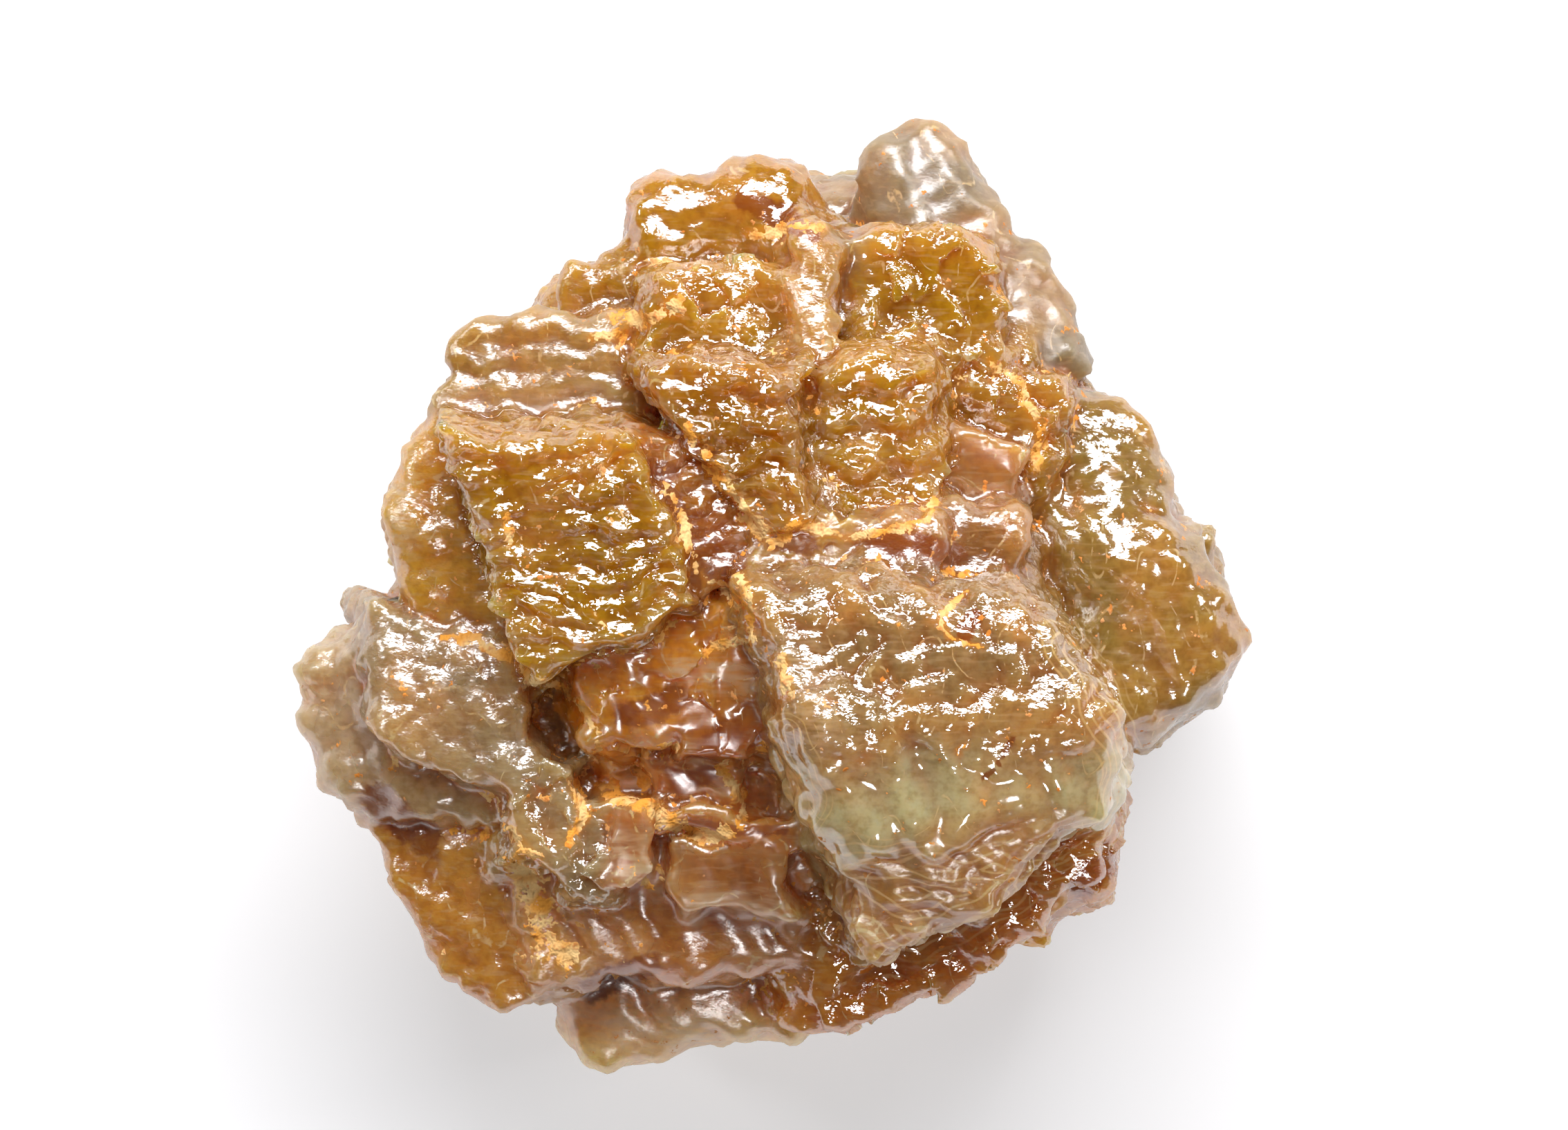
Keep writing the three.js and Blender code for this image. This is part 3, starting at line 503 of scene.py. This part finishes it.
def surface_net(value):
    """The surface where a grid of values passes 0, as points and four-sided faces."""
    inside = value < 0
    filled = fill_crossings(inside.copy())
    value = np.where(filled & ~inside, -0.001, value)
    inside = filled
    shape = np.array(value.shape) - 1

    def at(array, corner):
        return array[tuple(slice(c, c + n) for c, n in zip(corner, shape))]

    filled_corners = sum(at(inside, corner).astype(np.int8) for corner in np.ndindex(2, 2, 2))
    mixed = (filled_corners > 0) & (filled_corners < 8)
    index = np.full(mixed.shape, -1, np.int64)
    index[mixed] = np.arange(mixed.sum())
    total = np.zeros((mixed.sum(), 3))
    crossings = np.zeros(mixed.sum())
    for corner in np.ndindex(2, 2, 2):
        for axis in range(3):
            if corner[axis]:
                continue
            end = tuple(1 if k == axis else c for k, c in enumerate(corner))
            here, there = at(value, corner)[mixed], at(value, end)[mixed]
            crossing = (here < 0) != (there < 0)
            spot = np.tile(np.array(corner, float), (len(here), 1))
            spot[:, axis] = np.where(crossing, here / np.where(crossing, here - there, 1), 0)
            total += spot * crossing[:, None]
            crossings += crossing
    points = GRID_LOW + GRID_STEP * (np.argwhere(mixed) + total / crossings[:, None])
    faces = []
    for axis in range(3):
        across, along = (axis + 1) % 3, (axis + 2) % 3
        behind, ahead = [slice(1, -1)] * 3, [slice(1, -1)] * 3
        behind[axis], ahead[axis] = slice(0, -1), slice(1, None)
        a, b = inside[tuple(behind)], inside[tuple(ahead)]
        for outward, where in ((True, a & ~b), (False, ~a & b)):
            spot = np.argwhere(where) + [0 if k == axis else 1 for k in range(3)]
            ring = []
            for step in ((-1, -1), (0, -1), (0, 0), (-1, 0)):
                cell = spot.copy()
                cell[:, across] += step[0]
                cell[:, along] += step[1]
                ring.append(index[tuple(cell.T)])
            faces.append(np.stack(ring if outward else ring[::-1], 1))
    return points, np.concatenate(faces)


def largest_shell(points, faces):
    """Leaves out the small shells round hollows and specks."""
    label = np.arange(len(points))
    while True:
        least = label.copy()
        lowest = label[faces].min(1)
        for column in range(faces.shape[1]):
            np.minimum.at(least, faces[:, column], lowest)
        least = least[least]
        if (least == label).all():
            break
        label = least
    kept = label == np.bincount(label).argmax()
    renumber = np.cumsum(kept) - 1
    return points[kept], renumber[faces[kept[faces[:, 0]]]]


def in_threes(points, quads):
    """Cuts four-sided faces across their shorter diagonal."""
    first = np.linalg.norm(points[quads[:, 0]] - points[quads[:, 2]], axis=1)
    second = np.linalg.norm(points[quads[:, 1]] - points[quads[:, 3]], axis=1)
    turned = np.where((first <= second)[:, None], quads, np.roll(quads, -1, axis=1))
    return np.concatenate([turned[:, (0, 1, 2)], turned[:, (0, 2, 3)]])


def edges_of(triangles):
    """The first edges of all triangles, then their second and third ones, each as two points in order."""
    return np.sort(np.concatenate([triangles[:, ends] for ends in ((0, 1), (1, 2), (2, 0))]), axis=1)


def split_edges(points, triangles, fine):
    """Halves every edge of the fine triangles, and cuts their neighbours to match."""
    pairs, which = np.unique(edges_of(triangles), axis=0, return_inverse=True)
    which = which.reshape(3, -1).T
    halved = np.zeros(len(pairs), bool)
    halved[which[fine].ravel()] = True
    middle = np.full(len(pairs), -1)
    middle[halved] = len(points) + np.arange(halved.sum())
    points = np.concatenate([points, points[pairs[halved]].mean(1)])
    count = halved[which].sum(1)
    made = [triangles[count == 0]]
    for turn in range(3):
        corner = np.roll(triangles, -turn, axis=1)
        edge = np.roll(which, -turn, axis=1)
        a, b, c = corner.T
        ab, bc, _ = middle[edge].T
        one = (count == 1) & halved[edge[:, 0]]
        made += [np.stack(t, 1)[one] for t in ((a, ab, c), (ab, b, c))]
        two = (count == 2) & halved[edge[:, 0]] & halved[edge[:, 1]]
        made += [np.stack(t, 1)[two] for t in ((a, ab, c), (ab, b, bc), (ab, bc, c))]
    a, b, c = triangles.T
    ab, bc, ca = middle[which].T
    made += [np.stack(t, 1)[count == 3] for t in ((a, ab, ca), (ab, b, bc), (ca, bc, c), (ab, bc, ca))]
    return points, np.concatenate(made)


def triangle_normals(points, triangles):
    a, b, c = points[triangles[:, 0]], points[triangles[:, 1]], points[triangles[:, 2]]
    return np.cross(b - a, c - a)


def sum_at_points(triangles, values, count):
    """Adds each triangle's three numbers up at its points."""
    total = np.zeros((count, 3))
    for axis in range(3):
        for corner in range(3):
            total[:, axis] += np.bincount(triangles[:, corner], values[:, axis], count)
    return total


def unit(vectors):
    return vectors / np.maximum(np.linalg.norm(vectors, axis=1), 1e-9)[:, None]


def bend_of(points, triangles):
    """How sharply the surface turns at each triangle, larger for larger triangles."""
    normals = triangle_normals(points, triangles)
    size = np.linalg.norm(normals, axis=1)
    flat = normals / np.maximum(size, 1e-12)[:, None]
    mean = unit(sum_at_points(triangles, flat, len(points)))
    agreement = (mean[triangles] * flat[:, None]).sum(2).min(1)
    return (1 - agreement) * np.sqrt(size)


def outward_of(points, blocks):
    """The direction away from the stone's plain faces."""
    nudge = 0.03
    slope = np.stack([
        plain_gap(points + nudge * axis, blocks, 0.12) - plain_gap(points - nudge * axis, blocks, 0.12)
        for axis in np.eye(3)
    ], 1)
    return slope / np.maximum(np.linalg.norm(slope, axis=1), 1e-6)[:, None]


def settle(points, blocks, rounds):
    """Moves the points of the net onto the surface."""
    start = points.copy()
    outward = outward_of(points, blocks)
    for _ in range(rounds):
        move = np.clip(-0.9 * stone_gap(points, blocks), -LONGEST_MOVE, LONGEST_MOVE)
        away = points + move[:, None] * outward - start
        points = start + np.clip(away, -FURTHEST, FURTHEST)
    points[:, 2] = np.maximum(points[:, 2], 0)
    return points


# Where clay, iron stain and pale film lie on the upper side, in the crystals' plan: a width, then the
# points that the stroke runs through.
CLAY_STROKES = (
    (0.1, (-1.05, 2.15), (-0.95, 1.9), (-0.55, 1.35), (-0.35, 1.1)),
    (0.15, (-0.4, 1.05), (0, 0.72), (0.3, 0.95), (0.6, 0.85)),
    (0.1, (0.35, 0.95), (0.9, 0.8), (1.45, 0.85), (1.85, 1), (2, 1.3)),
    (0.08, (-1.35, 1.4), (-1.1, 0.95), (-0.95, 0.4), (-0.6, 0.15), (-0.45, -0.05)),
    (0.12, (-0.5, 0.35), (-0.3, 0.1), (-0.3, -0.4)),
    (0.08, (-0.95, -0.6), (-0.65, -0.5), (-0.3, -0.45)),
    (0.2, (-2, 3.6), (-1.6, 3.5), (-1.25, 3.65)),
    (0.12, (-2.3, 3.3), (-1.9, 3.35)),
    (0.12, (-0.3, 4.6), (0.25, 4.7), (0.6, 4.6)),
    (0.1, (-4.2, -0.5), (-3.7, -0.4), (-3.35, -0.75), (-3, -1), (-2.6, -1.1)),
    (0.16, (-3.4, -0.6), (-3.1, -0.95)),
    (0.1, (-2.6, -1.1), (-2.3, -1.4), (-2.1, -1.9)),
    (0.2, (-2.15, -2.35), (-1.75, -2.5), (-1.3, -2.75), (-0.8, -3), (-0.45, -2.75)),
    (0.12, (-1.75, -2.05), (-1.6, -2.3)),
    (0.16, (-0.6, -2.1), (-0.45, -2.45)),
    (0.1, (-1.35, -1.75), (-1.2, -1.85)),
    (0.3, (-3.2, -3.3), (-2.95, -3.8), (-2.9, -4.3), (-2.6, -4.5)),
    (0.16, (-3.3, -2.85), (-3, -3.2)),
    (0.12, (-2.5, -2.3), (-2.35, -2.7), (-2.55, -3)),
    (0.14, (3.1, 2.6), (3.35, 2.2), (3.3, 1.7)),
    (0.1, (2.7, 3), (3.1, 2.7)),
    (0.14, (0.05, -0.7), (0.15, -1.15)),
    (0.06, (2.35, 0.1), (2.05, -0.15), (2.15, -0.45), (2.55, -0.6)),
    (0.05, (-2.3, -0.1), (-1.9, -0.35), (-1.5, -0.75)),
    (0.07, (-3.27, 1.1), (-3.23, 0.75)),
)

STAIN_STROKES = (
    (0.14, (-1.5, 1.75), (-1.35, 1.4), (-1.05, 0.9), (-0.95, 0.4), (-0.9, -0.05)),
    (0.2, (-1.45, 1.7), (-1.25, 1.6)),
    (0.2, (-1.05, 1.95), (-0.85, 1.8)),
    (0.45, (-0.75, 0.9), (-0.6, 0.5)),
    (0.2, (0, 0.75), (0.45, 0.7)),
    (0.2, (2.45, -0.2), (2.35, -0.4)),
    (0.25, (0.2, 4.8), (-0.4, 5.05)),
    (0.2, (-0.3, 5), (0.45, 4.55)),
    (0.3, (4.2, -3.3), (3.9, -3.6)),
    (0.15, (-1.45, -2.75), (0.1, -2.85)),
    (0.12, (-3.1, -3.65),),
    (0.12, (-3.05, -4.1),),
    (0.35, (-5, -2.5), (-4.4, -3)),
    (0.25, (1.3, 0.75), (2.2, 0.6)),
    (0.06, (2.95, -1.65), (2.8, -1.95), (2.6, -2.2)),
    (0.3, (-2.3, -4.9), (-1.6, -4.6)),
    (0.35, (-0.9, -2.1), (-0.6, -1.7)),
    (0.3, (-1.8, -1.4), (-1.2, -1.2)),
)

FILM_STROKES = (
    (0.35, (0.2, -0.5), (0.45, -1), (0.55, -1.6)),
    (0.16, (-3.2, 2.5), (-2.4, 2.4)),
    (0.3, (-1.2, -0.85), (-0.3, -0.95)),
    (0.4, (-1.9, -3.1), (-1.6, -3.5)),
    (0.35, (-0.9, -3.9), (0.2, -3.9)),
    (0.3, (-4.7, 1.8), (-4.6, 0.8)),
    (0.5, (-2.2, -5.3), (-0.8, -5.5)),
)

# The stacked growth layers round the clear crystal's window show as a net of fine pale lines
NET_STROKES = (
    (0.45, (3.6, -0.5), (4.15, -1.4), (4.35, -2.2), (4.2, -2.95), (3.4, -3.3), (2.2, -3.35), (1, -3.2)),
    (0.55, (2.9, -3.6), (1.7, -4.1), (1, -3.7)),
    (0.3, (0.5, -2.6), (0.2, -1.6)),
)


def along_strokes(spots, strokes):
    """How close each spot is, in plan, to listed strokes: 1 on a stroke, 0 at its width or further."""
    cover = np.zeros(len(spots))
    for width, *stroke in strokes:
        stroke = np.array(stroke)
        starts = stroke[:-1] if len(stroke) > 1 else stroke
        ends = stroke[1:] if len(stroke) > 1 else stroke
        for start, end in zip(starts, ends):
            run = end - start
            share = np.clip(((spots[:, :2] - start) @ run) / max(run @ run, 1e-9), 0, 1)
            gap = np.linalg.norm(spots[:, :2] - start - share[:, None] * run, axis=1)
            cover = np.maximum(cover, 1 - gap / width)
    return cover


def neighbour_mean(values, edges, count):
    """Each point's mean of the points that its edges lead to."""
    total = np.zeros_like(values)
    for k in range(values.shape[1]):
        total[:, k] = np.bincount(edges[:, 0], values[edges[:, 1], k], count)
        total[:, k] += np.bincount(edges[:, 1], values[edges[:, 0], k], count)
    return total / np.maximum(np.bincount(edges.ravel(), minlength=count), 1)[:, None]


def make_stone():
    """The whole stone as one closed mesh, with its colours and marks at each of its points."""
    blocks = [Block(crystal) for crystal in CRYSTALS]
    shape = np.ceil((GRID_HIGH - GRID_LOW) / GRID_STEP).astype(int)
    steps = np.stack(np.meshgrid(*map(np.arange, shape), indexing="ij"), -1).reshape(-1, 3)
    points, quads = surface_net(stone_gap(GRID_LOW + GRID_STEP * steps, blocks).reshape(shape))
    points, quads = largest_shell(points, quads)
    triangles = in_threes(points, quads)
    normals = triangle_normals(points, triangles)
    facing_up = normals[:, 2] > 0.12 * np.linalg.norm(normals, axis=1)
    seen = points[triangles].mean(1)[:, 2] > FINE_ABOVE
    points, triangles = split_edges(points, triangles, facing_up & seen)
    points = settle(points, blocks, 2)
    bent = bend_of(points, triangles)
    points, triangles = split_edges(points, triangles, bent > np.sort(bent)[-FINEST])
    points = settle(points, blocks, 2)
    print("stone mesh:", len(points), "points", len(triangles), "triangles")

    swayed = points + sway(points)
    gaps, least = face_gaps(swayed, blocks)
    weights = np.zeros(len(points))
    tint = np.zeros((len(points), 3))
    gloss = np.zeros(len(points))
    grain = np.zeros(len(points))
    edge = np.zeros(len(points))
    ridge = np.zeros((len(points), 3))
    for number, (block, (near, gap)) in enumerate(zip(blocks, gaps)):
        weight = np.exp(-(gap - least[near]) / COLOUR_BLEND)
        weights[near] += weight
        tint[near] += weight[:, None] * block.tint
        gloss[near] += weight * block.gloss
        grain[near] += weight * block.grain_share(swayed[near])
        edge[near] += weight * block.edge_share(swayed[near])
        form, pitch, height = block.skin[0]
        if form == "ridges":
            own = near[gap < least[near] + 0.01]
            phase, strength = ridge_phase(block.local(swayed[own]), pitch, OWN_SALT * number)
            ridge[own] = np.stack([phase, strength * height, np.ones(len(own))], 1)
    tint /= weights[:, None]
    gloss /= weights
    grain /= weights
    edge /= weights
    seam = np.clip((least - plain_gap(points, blocks, CLEFT_BLEND)) / 0.06, 0, 1)

    edges = np.unique(edges_of(triangles), axis=0)
    smoothed = points
    for _ in range(SMOOTHINGS):
        smoothed = neighbour_mean(smoothed, edges, len(points))
    normals = unit(sum_at_points(triangles, triangle_normals(points, triangles), len(points)))
    bulge = ((points - smoothed) * normals).sum(1) / BULGE
    # How deep each point lies in a hollow: the body is darkened there as painted shade, and clay gathers
    # there
    hollow = np.clip(-bulge, 0, 1)
    rim = np.clip(edge * (0.6 + 0.4 * np.clip(bulge, -1, 1)), 0, 1)
    foil = np.clip((normals[:, 1] - 0.1) / 0.2, 0, 1) * np.clip((normals[:, 2] - 0.2) / 0.3, 0, 1)

    upper = np.clip((points[:, 2] - UPPER_SIDE) / 0.6, 0, 1) * np.clip((normals[:, 2] + 0.25) / 0.3, 0, 1)
    lower = 1 - upper
    strayed = points + 0.06 * np.stack([ripple(points, 0.3, salt) for salt in (81, 82, 83)], 1)
    cleft = seam * np.clip(hollow * 2.5, 0, 1)
    clay = along_strokes(strayed, CLAY_STROKES) * upper * (0.75 + 0.25 * hollow)
    clay = np.maximum(clay, (0.35 + 0.4 * lower) * cleft * (0.6 + 0.7 * ripple(points, 1.3, 71)))
    stain = along_strokes(strayed, STAIN_STROKES) * upper
    stain = np.maximum(stain, 0.6 * cleft * lower * (ripple(points, 1.5, 72) > 0.2))
    film = along_strokes(strayed, FILM_STROKES) * upper
    net = along_strokes(strayed, NET_STROKES) * upper

    mesh = bpy.data.meshes.new("rough_diamond_crystals")
    mesh.from_pydata(((points - STONE_CENTRE) * MM).tolist(), [], triangles.tolist())
    mesh.polygons.foreach_set("use_smooth", np.ones(len(triangles), bool))
    paint(mesh, "tint", tint)
    paint(mesh, "growth", np.stack([gloss, grain, hollow], 1))
    paint(mesh, "marks", np.stack([clay, stain, film], 1))
    paint(mesh, "skin", np.stack([foil, rim, net], 1))
    paint(mesh, "ridge", ridge)
    return mesh


def paint(mesh, name, values):
    """Keeps three numbers at each point of the mesh, for the materials to read."""
    layer = mesh.color_attributes.new(name, "FLOAT_COLOR", "POINT")
    layer.data.foreach_set("color", np.c_[values, np.ones(len(values))].astype(np.float32).ravel())


class Link:
    """A number socket that sums can be written with."""

    def __init__(self, maker, socket):
        self.maker = maker
        self.socket = socket

    def _with(self, operation, *others, swap=False):
        values = [self, *others]
        if swap:
            values = values[::-1]
        return self.maker.node("ShaderNodeMath", {"operation": operation}, dict(enumerate(values)))

    def __add__(self, other): return self._with("ADD", other)
    def __radd__(self, other): return self._with("ADD", other)
    def __sub__(self, other): return self._with("SUBTRACT", other)
    def __rsub__(self, other): return self._with("SUBTRACT", other, swap=True)
    def __mul__(self, other): return self._with("MULTIPLY", other)
    def __rmul__(self, other): return self._with("MULTIPLY", other)
    def part(self): return self._with("FRACT")
    def least(self, other): return self._with("MINIMUM", other)

    def ramp(self, start, end):
        """0 up to start, 1 from end on, smooth between."""
        return self.maker.node("ShaderNodeMapRange", {"interpolation_type": "SMOOTHSTEP"},
                               {"Value": self, "From Min": start, "From Max": end})


class Finish:
    """One material and its nodes."""

    def __init__(self, name):
        self.material = bpy.data.materials.new(name)
        self.material.use_nodes = True
        self.tree = self.material.node_tree
        self.tree.nodes.clear()

    def node(self, kind, settings, inputs, output=0):
        """Makes a node: its settings first, then the values and links of its sockets."""
        made = self.tree.nodes.new(kind)
        for name, value in settings.items():
            setattr(made, name, value)
        for name, value in inputs.items():
            socket = made.inputs[name]
            if isinstance(value, Link):
                self.tree.links.new(value.socket, socket)
            else:
                socket.default_value = value
        if not made.outputs:
            return made
        return Link(self, made.outputs[output])

    def noise(self, spots, scale, detail, roughness=0.5):
        return self.node("ShaderNodeTexNoise", {}, {
            "Vector": spots, "Scale": scale, "Detail": detail, "Roughness": roughness})

    def cells(self, spots, scale, distance="EUCLIDEAN"):
        """A random colour for each cell."""
        return self.node("ShaderNodeTexVoronoi", {"distance": distance},
                         {"Vector": spots, "Scale": scale}, "Color")

    def stretched(self, spots, scale, turn=(0, 0, 0)):
        return self.node("ShaderNodeMapping", {}, {"Vector": spots, "Scale": scale, "Rotation": turn})

    def blend(self, factor, first, second, kind="MIX"):
        """Blends two colours."""
        return self.node("ShaderNodeMix", {"data_type": "RGBA", "blend_type": kind},
                         {0: factor, 6: first, 7: second}, 2)

    def tilted(self, normal, turn, reach):
        """A normal leaned by a random colour for each facet."""
        lean = self.node("ShaderNodeVectorMath", {"operation": "SUBTRACT"}, {0: turn, 1: (0.5, 0.5, 0.5)})
        lean = self.node("ShaderNodeVectorMath", {"operation": "SCALE"}, {0: lean, "Scale": reach})
        both = self.node("ShaderNodeVectorMath", {"operation": "ADD"}, {0: normal, 1: lean})
        return self.node("ShaderNodeVectorMath", {"operation": "NORMALIZE"}, {0: both})

    def layer(self, name):
        """The colour kept at each point of the mesh under a name."""
        return self.node("ShaderNodeAttribute", {"attribute_name": name}, {}, "Color")

    def numbers(self, name):
        """The same for a layer that keeps three numbers."""
        kept = self.layer(name)
        return [self.node("ShaderNodeSeparateColor", {}, {0: kept}, k) for k in range(3)]


def colour(red, green, blue):
    """A colour of 0 to 255 with its alpha."""
    return (*linear(red, green, blue), 1)


def crystal_finish():
    """Amber diamond: see-through under a frosted skin, with clay and iron stain in its clefts."""
    finish = Finish("crystal")
    place = finish.node("ShaderNodeTexCoord", {}, {}, "Object")
    spots = finish.node("ShaderNodeVectorMath", {"operation": "SCALE"}, {0: place, "Scale": 1 / MM})
    tint = finish.layer("tint")
    gloss, grain, hollow = finish.numbers("growth")
    clay, stain, film = finish.numbers("marks")
    foil, rim, net = finish.numbers("skin")
    phase, ridge_height, ridged = finish.numbers("ridge")

    cloud = finish.noise(spots, 0.9, 1)
    frost = finish.noise(spots, 2.2, 1, 0.6)
    speckle = finish.noise(spots, 8, 2, 0.6)
    streaks = finish.noise(finish.stretched(spots, (1.2, 7, 5), (0.2, 0.1, 0.3)), 2.2, 1, 0.6)

    # The body's colour, from its clouds and speckle and the painted shade in its hollows to the film, growth
    # layers, veins, clay dust and rust
    body = finish.blend(cloud.ramp(0.4, 0.65) * 0.35, tint, colour(224, 160, 74))
    darker = finish.blend(1.0, body, (0.55, 0.42, 0.26, 1), "MULTIPLY")
    body = finish.blend(speckle.ramp(0.35, 0.7) * 0.5, body, darker)
    # painted shade: the body darkens towards deep orange-brown in the hollows
    body = finish.blend(hollow * 0.6, body, colour(160, 86, 14))
    body = finish.blend(streaks.ramp(0.5, 0.7) * 0.18, body, colour(226, 196, 150))
    body = finish.blend(rim * speckle.ramp(0.4, 0.65) * 0.3, body, colour(206, 170, 122))
    body = finish.blend(film * streaks.ramp(0.3, 0.6) * 0.6, body, colour(216, 184, 146))
    layers = (net * 4 + cloud * 5).part()
    layer_lines = 1 - ((layers - 0.5) * (layers - 0.5)).ramp(0, 0.03)
    body = finish.blend(net.ramp(0, 0.4) * (0.03 + layer_lines * 0.55), body, colour(232, 198, 138))
    threads = finish.noise(finish.stretched(spots, (1.6, 1, 1.2), (0.4, 0.1, 0.7)), 0.85, 1, 0.62)
    veins = 1 - ((threads - 0.5) * (threads - 0.5)).ramp(0, 0.00009)
    body = finish.blend(veins * speckle.ramp(0.45, 0.6) * 0.6, body, colour(236, 206, 150))
    body = finish.blend((clay * 1.6 + (frost - 0.5) * 1.5).ramp(0.1, 0.8) * 0.5, body, colour(226, 146, 44))
    rust = (stain * 1.5 + speckle * 0.9 - 0.75).ramp(0.05, 0.55)
    body = finish.blend(rust * 0.8, body, colour(146, 72, 14))

    # The skin's fine facets, and the crinkle and ridge crests raised on them
    rough_patch = (foil * gloss * 0.8 + frost.ramp(0.5, 0.62) * 0.3 + rim * 0.3).least(1) * grain
    grown = finish.stretched(spots, (1, 1.5, 1.2), (0.3, 0.2, 0.5))
    facets = finish.node("ShaderNodeNewGeometry", {}, {}, "Normal")
    facets = finish.tilted(facets, finish.cells(grown, 7, "CHEBYCHEV"), 0.11 * grain + 0.3 * rough_patch)
    facets = finish.tilted(facets, finish.cells(grown, 16), 0.04 * grain + 0.2 * rough_patch)
    crinkle = finish.noise(grown, 14, 1, 0.7)
    step = (phase + (finish.noise(grown, 5, 0) - 0.5) * 0.5).part()
    ridge = (step * (1 / RIDGE_CLIMB)).least((1 - step) * (1 / (1 - RIDGE_CLIMB)))
    skin = crinkle * grain * (0.005 + foil * gloss * 0.008) + ridge * ridge_height * ridged
    skin_normal = finish.node("ShaderNodeBump", {}, {
        "Strength": 1.0, "Distance": MM, "Height": skin, "Normal": facets})

    crystal = finish.node("ShaderNodeBsdfPrincipled", {"subsurface_method": "RANDOM_WALK"}, {
        "Base Color": body,
        "Roughness": 0.44 - gloss * 0.37 + frost.ramp(0.5, 0.75) * 0.1 + film * 0.12 + rim * 0.12,
        "IOR": DIAMOND_IOR,
        "Transmission Weight": 0.25,
        "Subsurface Weight": 1.0,
        "Subsurface Radius": (1.0, 0.72, 0.38),
        "Subsurface Scale": 0.0018,
        "Normal": skin_normal,
    })

    # The clay that covers the crystal
    clay_normal = finish.node("ShaderNodeBump", {}, {
        "Strength": 0.9, "Distance": 0.09 * MM, "Height": speckle})
    lumps = finish.noise(spots, 3.2, 1).ramp(0.35, 0.68)
    earth = finish.blend(lumps, colour(226, 154, 58), colour(238, 200, 136))
    earth = finish.blend(speckle.ramp(0.58, 0.72) * 0.6, earth, colour(190, 96, 34))
    earth_finish = finish.node("ShaderNodeBsdfPrincipled", {}, {
        "Base Color": earth, "Roughness": 0.85, "Specular IOR Level": 0.3, "Normal": clay_normal})

    cover = (clay * 1.3 + (speckle - 0.5) * 2.4 + (frost - 0.5) * 1.2).ramp(0.5, 0.62)
    both = finish.node("ShaderNodeMixShader", {}, {0: cover, 1: crystal, 2: earth_finish})
    depth = finish.node("ShaderNodeVolumeAbsorption", {}, {"Color": (0.78, 0.47, 0.16, 1), "Density": 260.0})
    finish.node("ShaderNodeOutputMaterial", {}, {"Surface": both, "Volume": depth})
    return finish.material


def floor_finish():
    finish = Finish("pale_floor")
    paper = finish.node("ShaderNodeBsdfPrincipled", {}, {
        "Base Color": (0.5, 0.503, 0.51, 1), "Roughness": 0.9, "Specular IOR Level": 0.1,
        "Emission Color": (0.985, 0.985, 1.0, 1), "Emission Strength": 0.48})
    finish.node("ShaderNodeOutputMaterial", {}, {"Surface": paper})
    return finish.material


def softbox(name, place, size, power, tone):
    """A soft light that looks at the middle of the stone."""
    lamp = bpy.data.lights.new(name, "AREA")
    lamp.shape = "RECTANGLE"
    lamp.size, lamp.size_y = size
    lamp.energy = power
    lamp.color = tone
    light = bpy.data.objects.new(name, lamp)
    bpy.context.scene.collection.objects.link(light)
    light.location = place
    aim = Vector((0, 0, 0.006)) - light.location
    light.rotation_euler = aim.to_track_quat("-Z", "Y").to_euler()
    light.visible_camera = False


def studio():
    scene = bpy.context.scene
    world = bpy.data.worlds.new("studio_air")
    world.use_nodes = True
    nodes, links = world.node_tree.nodes, world.node_tree.links
    way = nodes.new("ShaderNodeSeparateXYZ")
    links.new(nodes.new("ShaderNodeTexCoord").outputs["Generated"], way.inputs[0])
    glow = nodes.new("ShaderNodeMapRange")  # dim overhead, brighter round the horizon
    for socket, value in (("From Min", 0.5), ("From Max", 0.1), ("To Min", 0.02), ("To Max", 0.13)):
        glow.inputs[socket].default_value = value
    links.new(way.outputs["Z"], glow.inputs["Value"])
    links.new(glow.outputs["Result"], nodes["Background"].inputs["Strength"])
    nodes["Background"].inputs["Color"].default_value = (0.97, 0.985, 1.0, 1)
    scene.world = world
    scene.view_settings.view_transform = "Standard"

    # Each light's power gives its face the brightness listed for it
    for name, place, size, brightness, tone in SOFTBOXES:
        softbox(name, place, size, brightness * np.pi * size[0] * size[1], tone)

    plane = bpy.data.meshes.new("floor")
    corners = [(-1.5, -1.5, 0), (1.5, -1.5, 0), (1.5, 1.5, 0), (-1.5, 1.5, 0)]
    plane.from_pydata(corners, [], [(0, 1, 2, 3)])
    plane.materials.append(floor_finish())
    floor = bpy.data.objects.new("floor", plane)
    scene.collection.objects.link(floor)

    # Looks straight down
    view = bpy.data.cameras.new("camera")
    view.lens = 250
    view.sensor_width = 36
    view.clip_start = 0.001
    camera = bpy.data.objects.new("camera", view)
    camera.location = (0.000062, 0.00048, 0.143)
    scene.collection.objects.link(camera)
    scene.camera = camera


# Name, place, size, brightness and tone of each soft light
SOFTBOXES = (
    ("far_softbox", (0.01, 0.1, 0.13), (0.13, 0.075), 14, (1.0, 0.985, 1.0)),
    ("left_softbox", (-0.12, 0.05, 0.12), (0.03, 0.035), 17, (0.98, 0.98, 1.0)),
    ("right_softbox", (0.13, 0.03, 0.1), (0.03, 0.035), 17, (1.0, 0.98, 0.97)),
    ("near_softbox", (0.02, -0.11, 0.13), (0.025, 0.03), 18, (1.0, 0.98, 0.98)),
)

studio()
stone = bpy.data.objects.new("rough_diamond_crystals", make_stone())
bpy.context.scene.collection.objects.link(stone)
stone.data.materials.append(crystal_finish())
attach(stone, "root")
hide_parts("rough_diamond")
